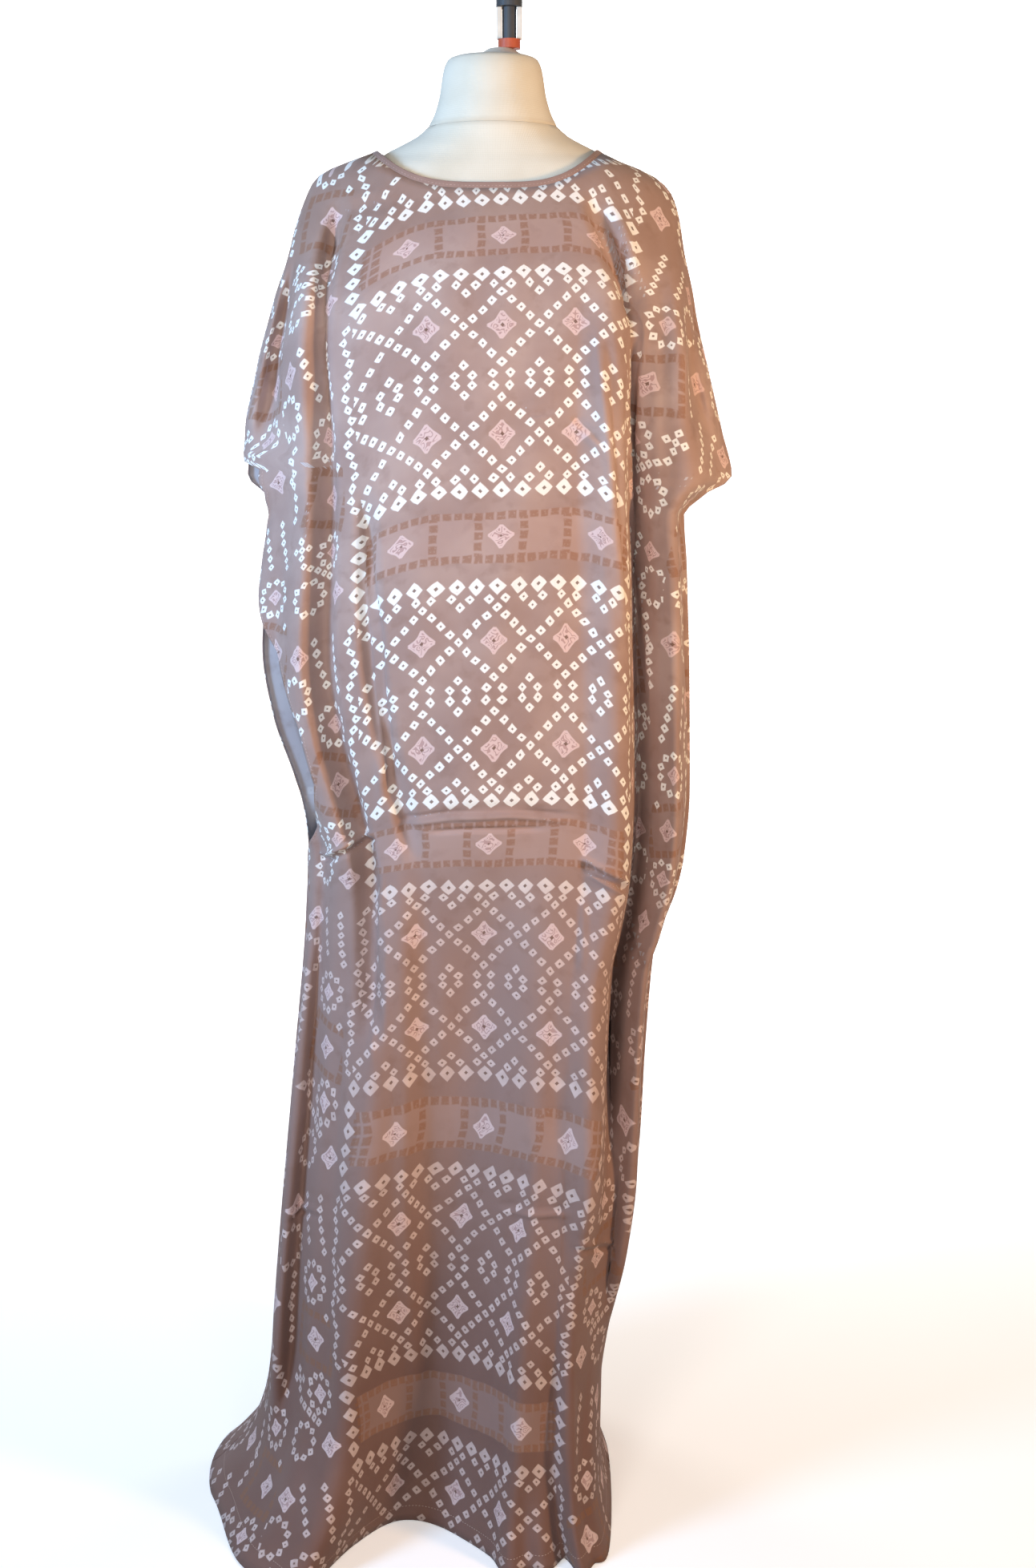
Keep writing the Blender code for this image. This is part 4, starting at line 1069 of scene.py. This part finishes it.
def printed_cotton(name, strength, light, dark, low):
    """The printed cloth. Strength is how clearly the print shows, light and dark are its ground, and low
    is the ground of the skirt, darker as painted shade of the dimmer light near the floor."""
    finish = Finish(name)
    at = print_frame(finish)
    field_dots, field_roses, field_boxes = field_motifs(finish, at)
    small = lattice_dots(finish, at).low(border_dots(finish, at)).low(field_dots)
    big = big_dots(finish, at)
    rose = roses(finish, at).low(field_roses)
    squares = check_squares(at).high(field_boxes)
    cloudy = finish.noise(at["where"], 0.011, 3.0)
    smudge = finish.noise(at["where"], 0.35)
    blotch = finish.noise(at["where"], 0.045, 3.0)
    ground = cloth_ground(finish, at, cloudy, blotch, (light, dark, low))
    inside = edge_of(HALF_REPEAT - at["half"], BAND_EDGE, 1.0)
    inside = inside * at["side"].rise(BAND_END, BAND_END - 2)
    ground = finish.mix(inside * 0.3 * strength, ground, paint(200, 168, 160))
    brown = squares.rise(-0.9, 0.9) * smudge.rise(0.15, 0.5) * strength
    ground = finish.mix(brown * 0.6, ground, paint(146, 98, 68))
    ground = with_roses(finish, at, rose, ground, strength)
    # Painted shade: lower down the undyed dots turn duller, pinker and patchier, for the dimmer light
    # there
    dot_shade_below = at["v"].rise(590.0, 740.0)
    show = (smudge.rise(-0.15, 0.42) - dot_shade_below * (blotch * 0.7 - 0.1)) * strength
    undyed = finish.mix(dot_shade_below * 0.75, paint(250, 246, 242), paint(224, 192, 186))
    dots = edge_of(small, SMALL_DOT, 0.7).high(edge_of(big, BIG_DOT, 0.8))
    speck = edge_of(small, 1.3, 0.5).high(edge_of(big, 2.1, 0.6)).high(edge_of(rose, 2.4, 0.6))
    ground = finish.mix(dots * show, ground, undyed)
    ground = finish.mix(speck * strength * 0.85, ground, paint(112, 78, 62))
    finish.surface(
        Base_Color=ground, Roughness=0.72 + cloudy * 0.12,
        Normal=finish.bump(weave(finish, at), 0.00018, 0.5),
        Sheen_Weight=0.12, Sheen_Roughness=0.5, Specular_IOR_Level=0.35,
        Subsurface_Weight=0.08, Subsurface_Radius=(1.0, 0.75, 0.65), Subsurface_Scale=0.0006)
    print(name, len(finish.tree.nodes), "nodes")
    return finish.material

# The last colour of each finish is the ground of the skirt, darker as painted shade
right_side = printed_cotton("printed_cotton", 1.0, (188, 162, 154), (168, 140, 132), (156, 126, 118))
# The wrong side's own grey is painted paler and bluer: painted light that shines through the thin cotton
wrong_side = printed_cotton(
    "printed_cotton_wrong_side", 0.16, (204, 198, 202), (190, 182, 188), (172, 162, 164))

# %% [markdown]
# ## Make the panels
# The outer grid, the inner grid and the strips round the rim are joined into one closed shell. The faces
# of the inner grid take the wrong side's finish, since both sides show where the armholes stand open.

# %% The front and the back as closed shells
def shell_faces(rows, columns, flip):
    """Faces of the outer grid, of the inner grid turned over, and of the strip round the rim."""
    outer = grid_faces(rows, columns)
    inner = outer[:, ::-1] + rows * columns
    index = np.arange(rows * columns).reshape(rows, columns)
    rim = np.concatenate([index[0, :-1], index[:-1, -1], index[-1, :0:-1], index[:0:-1, 0]])
    after = np.roll(rim, -1)
    strip = np.stack([after, rim, rim + rows * columns, after + rows * columns], axis=-1)
    faces = np.concatenate([outer, inner, strip])
    slots = np.concatenate([np.zeros(len(outer)), np.ones(len(inner)), np.zeros(len(strip))])
    return (faces[:, ::-1] if flip else faces), slots

def make_panel(name, side, node):
    """One panel of the dress, with its print coordinates as its UV map."""
    outer, inner, flat = cloth_shell(side)
    rows, columns = outer.shape[:2]
    faces, slots = shell_faces(rows, columns, flip=side < 0)
    prints = print_places(side, flat)
    points = np.concatenate([outer.reshape(-1, 3), inner.reshape(-1, 3)])
    uv = np.concatenate([prints.reshape(-1, 2)] * 2)
    made = make_piece(name, points, faces, [right_side, wrong_side], uv, slots)
    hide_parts(node)
    return made, outer

front_cloth, front_outer = make_panel("front_cloth", -1, "front_panel")
back_cloth, back_outer = make_panel("back_cloth", 1, "back_panel")

# %% [markdown]
# ## The binding of the neck
# A narrow strip of the same cloth is folded over the raw edge of the neck and sewn down. It carries the
# panels' surface on past the edge as one ring. Its section is a flat loop that is thicker at the fold.

# %% A strip carried round the neck
def plain_cotton(name, light, dark, grain):
    """The same cotton without its print, as the binding and the thread have it."""
    finish = Finish(name)
    where = finish.add("TexCoord", out=3)
    cloudy = finish.noise(where, 60.0, 3.0)
    ground = finish.mix(cloudy, paint(*dark), paint(*light))
    fine = finish.noise(where, grain)
    return finish.surface(Base_Color=ground, Roughness=0.74 + cloudy * 0.1,
                          Normal=finish.bump(fine, 0.0002, 0.5), Sheen_Weight=0.12, Sheen_Roughness=0.5)

NECK_POINTS = 121
LAP = 1.6 * MM

def neck_path():
    """Points round the neck edge, from the left shoulder over the front, and the ways up and outward."""
    shares = np.linspace(0, 1, NECK_POINTS)
    rings = [neck_ring(places_at(shares, side, 401), side, BINDING_WIDTH / 2) for side in (-1, 1)]
    edge, up = (np.concatenate([front, back[-2:0:-1]]) for front, back in zip(*rings))
    along = unit(np.roll(edge, -1, axis=0) - np.roll(edge, 1, axis=0))
    up = unit(up - along * (up * along).sum(axis=1, keepdims=True))
    return edge, up, np.cross(along, up)

def bulging(wave, power):
    """A sine or cosine with its own sign kept and its size raised to a power below 1."""
    return np.sign(wave) * np.abs(wave) ** power

def make_binding():
    """A flat loop, 5 mm wide and 0.9 mm thick, carried round the neck's path. It is a little thicker
    towards the fold at its top, and its lower edge laps over the panels."""
    edge, up, outward = neck_path()
    turn = np.linspace(0, 2 * np.pi, 14, endpoint=False)
    high = (0.5 + 0.5 * bulging(np.sin(turn), 0.6)) * BINDING_WIDTH
    thick = (0.95 + 0.55 * bulging(np.cos(turn), 0.7) * (0.8 + 0.2 * np.sin(turn))) * MM
    ripple = 0.1 * MM * np.sin(np.arange(len(edge)) * 1.7)[:, None, None]
    lifted = BINDING_GAP + high - LAP * (high < BINDING_WIDTH / 2)
    points = (edge[:, None] + up[:, None] * lifted[None, :, None]
              + outward[:, None] * (thick[None, :, None] + ripple))
    faces = grid_faces(len(points) + 1, len(turn), ring=True) % (len(points) * len(turn))
    cotton = plain_cotton("binding_cotton", (168, 138, 128), (148, 118, 108), 900.0)
    made = make_piece("neck_edge", points, faces[:, ::-1], [cotton])
    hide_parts("neck_binding")
    return made

neck_edge = make_binding()

# %% [markdown]
# ## Sewing
# The hems of the open sides and of the bottom, and the edge of the neck, are held by a row of machine
# stitches. Each stitch is a small spindle of thread that dips into the cloth at both ends. One spindle
# of a few faces is worked out, and is then copied along a line on the cloth, one each 3.8 mm.

# %% Stitches along lines on the cloth
STITCH_LONG, STITCH_PITCH, THREAD = 3.0 * MM, 3.8 * MM, 0.3 * MM
SPINDLE_RINGS, SPINDLE_SIDES = 5, 6

def spindle():
    """One stitch: its points, along, across and out of the cloth, and its faces. Its radius follows a
    circle's height over its length, and its ends sink by a thread's radius."""
    turns = np.linspace(0, 2 * np.pi, SPINDLE_SIDES, endpoint=False)
    place, turn = np.meshgrid(np.linspace(-1, 1, SPINDLE_RINGS), turns, indexing="ij")
    thick = THREAD * np.sqrt(np.maximum(1 - place**2 * 0.97, 0))
    local = np.stack([place * STITCH_LONG / 2, np.cos(turn) * thick,
                      np.sin(turn) * thick - place**2 * THREAD], axis=-1).reshape(-1, 3)
    last = (SPINDLE_RINGS - 1) * SPINDLE_SIDES
    caps = np.array([[3, 4, 5, 0], [1, 2, 3, 0]])
    far_caps = np.array([[3, 2, 1, 0], [5, 4, 3, 0]]) + last
    return local, np.concatenate([grid_faces(SPINDLE_RINGS, SPINDLE_SIDES, ring=True), caps, far_caps])

def stitch_rows(line, outward):
    """Copies of one spindle along a line of points: its axis follows the line, and its middle stands
    half a thread proud of the cloth."""
    length = np.concatenate([[0], np.linalg.norm(np.diff(line, axis=0), axis=1).cumsum()])
    places = np.arange(STITCH_PITCH, length[-1] - STITCH_PITCH, STITCH_PITCH)
    def read(values, where):
        """Values at lengths along the line, straight between its points."""
        return np.stack([np.interp(where, length, values[:, k]) for k in range(3)], axis=-1)
    at, out = read(line, places), unit(read(outward, places))
    along = unit(read(line, places + 1 * MM) - at)
    frame_ways = np.stack([along, np.cross(along, out), out], axis=1)
    local, one = spindle()
    points = at[:, None] + local @ frame_ways
    faces = (one[None] + np.arange(len(at))[:, None, None] * len(local)).reshape(-1, 4)
    return points.reshape(-1, 3), faces

def make_stitches(name, lines):
    """All the stitches of some lines as one piece."""
    made = [stitch_rows(line, way) for line, way in lines]
    starts = np.cumsum([0] + [len(points) for points, _ in made[:-1]])
    points = np.concatenate([points for points, _ in made])
    faces = np.concatenate([faces + start for (_, faces), start in zip(made, starts)])
    return make_piece(name, points, faces, [thread])

# %% Stitches of the hems and of the neck
LEFT_SEAM_TOP, RIGHT_SEAM_TOP = 0.755, 0.660
HEM_COLUMN, HEM_ROW = 2, -3
NECK_ROW_UP, NECK_ROW_OUT = 1.9 * MM, 1.25 * MM

def hem_stitches(name, outer):
    """Stitches down both open sides of a panel's outer grid, and along its bottom."""
    outward = unit(np.cross(np.gradient(outer, axis=1), np.gradient(outer, axis=0)))
    outward *= np.sign(outward[..., 1].mean() * outer[..., 1].mean())
    lines = []
    for column, seam_top in ((HEM_COLUMN, LEFT_SEAM_TOP), (-1 - HEM_COLUMN, RIGHT_SEAM_TOP)):
        is_open = outer[:, column, 2] > seam_top
        lines.append((outer[is_open, column], outward[is_open, column]))
    return make_stitches(name, lines + [(outer[HEM_ROW], outward[HEM_ROW])])

thread = plain_cotton("hem_thread", (206, 180, 170), (186, 160, 148), 2500.0)
front_stitches = hem_stitches("front_stitches", front_outer)
back_stitches = hem_stitches("back_stitches", back_outer)
edge, up, outward = (np.concatenate([part, part[:1]]) for part in neck_path())
neck_row = edge + up * NECK_ROW_UP + outward * NECK_ROW_OUT
neck_stitches = make_stitches("neck_stitches", [(neck_row, outward)])

# %% [markdown]
# ## The form's cover
# The form is foam under a cover of cream cotton jersey. The neck has a cover of its own, seamed to the
# torso's round its base. Both are turned from the rounded outlines of the CAD model with many more
# points, so that the neck shows as a smooth curve. The jersey is a bump of fine columns of stitches,
# with a little soiling that gathers near the seam.

# %% Jersey, and the two covers
SEAM_HEIGHT = 1.5185
WALES_PER_RADIAN, COURSE = 50, 1.4 * MM

def jersey():
    """Knitted cotton: columns of stitches counted round the pole and rows of them up it, as sines."""
    finish = Finish("cream_jersey")
    where = finish.add("TexCoord", out=3)
    cloudy = finish.noise(where, 14.0, 3.0)
    u, v = finish.split(where)
    height = finish.add("SeparateXYZ", {}, {0: where}, out=2)
    wales = (v.math("ARCTAN2", u) * (2 * np.pi * WALES_PER_RADIAN)).math("SINE")
    ribs = wales * 0.5 + (height * (2 * np.pi / COURSE)).math("SINE") * 0.4
    near_seam = abs(height - SEAM_HEIGHT).rise(0.006, 0.0)
    ground = finish.mix(cloudy.rise(0.3, 0.7), paint(224, 217, 199), paint(234, 229, 214))
    ground = finish.mix(near_seam * 0.35, ground, paint(186, 172, 150))
    return finish.surface(Base_Color=ground, Roughness=0.82 + cloudy * 0.1,
                          Normal=finish.bump(ribs + finish.noise(where, 900.0), 0.0002, 0.35),
                          Sheen_Weight=0.2, Sheen_Roughness=0.5)

COVER_SEGMENTS = 96
TORSO_TOP, NECK_BOTTOM, NECK_TOP = 1.5177, 1.518, 1.588
RIM_ROLL, RIM_HIGH = 0.9 * MM, 2.5 * MM
CAP_RINGS = (0.6, 0.25, 0.02)

def cover_rings(table, low, high, rows):
    """A table's outlines between two heights, eased in at the rims, with smaller rings for flat ends."""
    turn = np.linspace(-1, 3, COVER_SEGMENTS, endpoint=False)
    in_front = turn <= 1
    place, height = np.meshgrid(np.where(in_front, turn, 2 - turn), np.linspace(low, high, rows))
    front, back = (rounded_section(table, place, height, side) for side in (-1, 1))
    x, y = (np.where(in_front, front[k], back[k]) for k in range(2))
    near_end = np.minimum(height - low, high - height)
    ease = 1 - RIM_ROLL / np.hypot(x, y) * (1 - ramp(near_end / RIM_HIGH)) ** 2
    points = np.stack([x * ease, y * ease, height], axis=-1)
    lower = [points[0] * (share, share, 1) for share in CAP_RINGS[::-1]]
    upper = [points[-1] * (share, share, 1) for share in CAP_RINGS]
    return np.concatenate([lower, points, upper])

def make_cover(name, table, low, high, rows, node, material):
    """A closed solid through the rings. Quads that share the middle point of an end close it."""
    rings = cover_rings(table, low, high, rows)
    points = np.concatenate([rings.reshape(-1, 3), [[0, 0, low], [0, 0, high]]])
    middle = len(points) - 2
    first = np.arange(0, COVER_SEGMENTS, 2)
    three = np.stack([first, first + 1, (first + 2) % COVER_SEGMENTS], -1)
    low_middle, high_middle = (np.full((len(first), 1), middle + k) for k in range(2))
    low_fan = np.concatenate([three, low_middle], 1)[:, ::-1]
    high_fan = np.concatenate([three[:, ::-1] + middle - COVER_SEGMENTS, high_middle], 1)[:, ::-1]
    faces = np.concatenate([grid_faces(len(rings), COVER_SEGMENTS, ring=True), low_fan, high_fan])
    made = make_piece(name, points, faces, [material], sharp=50)
    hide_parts(node)
    return made

cream_jersey = jersey()
torso_cover = make_cover(
    "torso_cover", TORSO_SECTIONS, FORM_BOTTOM, TORSO_TOP, 150, "form_torso", cream_jersey)
neck_cover = make_cover(
    "neck_cover", NECK_SECTIONS, NECK_BOTTOM, NECK_TOP, 60, "form_neck", cream_jersey)

# %% [markdown]
# ## The top fitting and the hidden stand
# The pole comes out of the neck through a low white cone. Its end is an orange collar, a dark core
# between two pale cheeks, and a dark tip. These blocks keep their CAD shapes and get plastic finishes.
# The pole, its socket and the iron base hide under the skirt.

# %% Plastics and metals
def plastic(name, colour, roughness, **more):
    """Moulded plastic: a slight orange peel, faint scratches in its gloss and dust in its colour."""
    finish = Finish(name)
    where = finish.add("TexCoord", out=3)
    cloudy = finish.noise(where, 90.0, 3.0)
    tint = [0.86 * part for part in paint(*colour)[:3]]
    ground = finish.mix(cloudy.rise(0.3, 0.75), (*tint, 1), paint(*colour))
    return finish.surface(Base_Color=ground, Roughness=roughness + cloudy * 0.14,
                          Normal=finish.bump(finish.noise(where, 700.0), 0.0002, 0.25), **more)

white_plastic = plastic("white_plastic", (232, 228, 218), 0.34)
orange_plastic = plastic("orange_plastic", (196, 92, 62), 0.38)
grey_plastic = plastic("grey_plastic", (66, 70, 76), 0.4)
black_iron = plastic("black_iron", (40, 40, 42), 0.5, Metallic=0.6)
pole_steel = plastic("pole_steel", (170, 170, 172), 0.26, Metallic=1.0)
FINISHES = {"neck_cap": white_plastic, "pole_collar": orange_plastic, "left_cheek": white_plastic,
            "right_cheek": white_plastic, "pole_end": grey_plastic, "pole_finial": grey_plastic,
            "stand_pole": pole_steel, "pole_socket": black_iron, "stand_base": black_iron}
for node, material in FINISHES.items():
    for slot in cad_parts[node].material_slots:
        slot.material = material
print("finishes given to", len(FINISHES), "nodes")

# %% [markdown]
# ## Floor and light
# The picture was lit by cool daylight from the left and by a warm lamp from the right, on plain white.
# Four round area lights and a pale world give that: the two at the sides draw the folds, and the two in
# front keep their valleys from going black. Two more lights whiten the sweep behind the dress. The floor
# is stage, not part. It throws no light back on the cloth, because a bright floor would fill the
# undersides of the creases as strongly as the lights fill their tops, and so hide them.

# %% A pale floor, a pale world and soft lights
FLOOR_DEEP, FLOOR_WIDE = 9.0, 12.0
FLOOR_FRONT, SWEEP_RADIUS, WALL_HIGH = -5.0, 0.8, 5.0
SWEEP_START, SWEEP_END = 0.6, 0.7

WHITE = (1.0, 1.0, 1.0, 1.0)
CHEST, WAIST = (0, 0, 1.15), (0, 0, 0.95)

def make_floor():
    """A plane that sweeps up behind the dress as a quarter circle, so that no horizon shows."""
    along = np.linspace(0, 1, 60)
    turn = np.clip((along - SWEEP_START) / (SWEEP_END - SWEEP_START), 0, 1) * np.pi / 2
    run = FLOOR_FRONT + FLOOR_DEEP * np.clip(along / SWEEP_START, 0, 1) + SWEEP_RADIUS * np.sin(turn)
    risen = np.clip((along - SWEEP_END) / (1 - SWEEP_END), 0, 1)
    lift = SWEEP_RADIUS * (1 - np.cos(turn)) + WALL_HIGH * risen
    x, y = np.meshgrid(np.linspace(-FLOOR_WIDE / 2, FLOOR_WIDE / 2, 30), run)
    z = np.broadcast_to(lift[:, None], x.shape)
    points = np.stack([x, y, z], axis=-1)
    mesh = bpy.data.meshes.new("floor")
    mesh.from_pydata(points.reshape(-1, 3), [], grid_faces(*x.shape).tolist())
    mesh.shade_smooth()
    made = bpy.data.objects.new("floor", mesh)
    bpy.context.scene.collection.objects.link(made)
    finish = Finish("pale_floor")
    where = finish.add("TexCoord", out=3)
    cloudy = finish.noise(where, 2.0, 3.0)
    ground = finish.mix(cloudy, paint(246, 246, 246), paint(250, 250, 250))
    finish.surface(Base_Color=ground, Roughness=0.9, Emission_Color=WHITE, Emission_Strength=0.3)
    mesh.materials.append(finish.material)
    made.visible_diffuse = False
    made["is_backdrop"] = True

def soft_light(name, place, aim, size, power, colour):
    """A round area light that points from its place to its aim."""
    made = bpy.data.objects.new(name, bpy.data.lights.new(name, "AREA"))
    made.data.shape, made.data.size, made.data.energy, made.data.color = "DISK", size, power, colour
    made.location, made.visible_camera = place, False
    made.rotation_euler = (Vector(aim) - Vector(place)).to_track_quat("-Z", "Y").to_euler()
    bpy.context.scene.collection.objects.link(made)

make_floor()
soft_light("window_left", (-1.5, -0.95, 1.45), CHEST, 0.6, 31, (0.38, 0.64, 1.0))
soft_light("daylight_front", (-0.45, -1.75, 1.50), CHEST, 0.5, 12.5, (1.0, 0.95, 0.90))
soft_light("lamp_right", (1.4, -0.8, 1.25), CHEST, 0.3, 17, (1.0, 0.58, 0.26))
soft_light("room_front", (0.35, -2.0, 1.05), WAIST, 0.5, 6, (1.0, 0.90, 0.80))
for side in (-1, 1):
    soft_light("backdrop_light", (side * 1.8, 2.0, 2.8), (side * 1.0, 4.6, 1.0), 1.6, 150, WHITE[:3])
world = bpy.data.worlds.new("pale_room")
world.use_nodes = True
background = world.node_tree.nodes["Background"]
background.inputs["Color"].default_value = WHITE
background.inputs["Strength"].default_value = 0.17
bpy.context.scene.world = world
bpy.context.scene.view_settings.view_transform = "Standard"

# %% [markdown]
# ## Compare the size
# The box of everything that shows is set beside the CAD model's box, and how far they differ is
# printed. The cloth may stand a little proud of it.

# %% Print how far the boxes differ
shown_box = [list(corner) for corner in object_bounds()]
grown = (np.abs(np.array(shown_box) - np.array(cad_box)) / MM).round(1)
print("the shown box differs from the CAD box by", grown.tolist(), "mm")
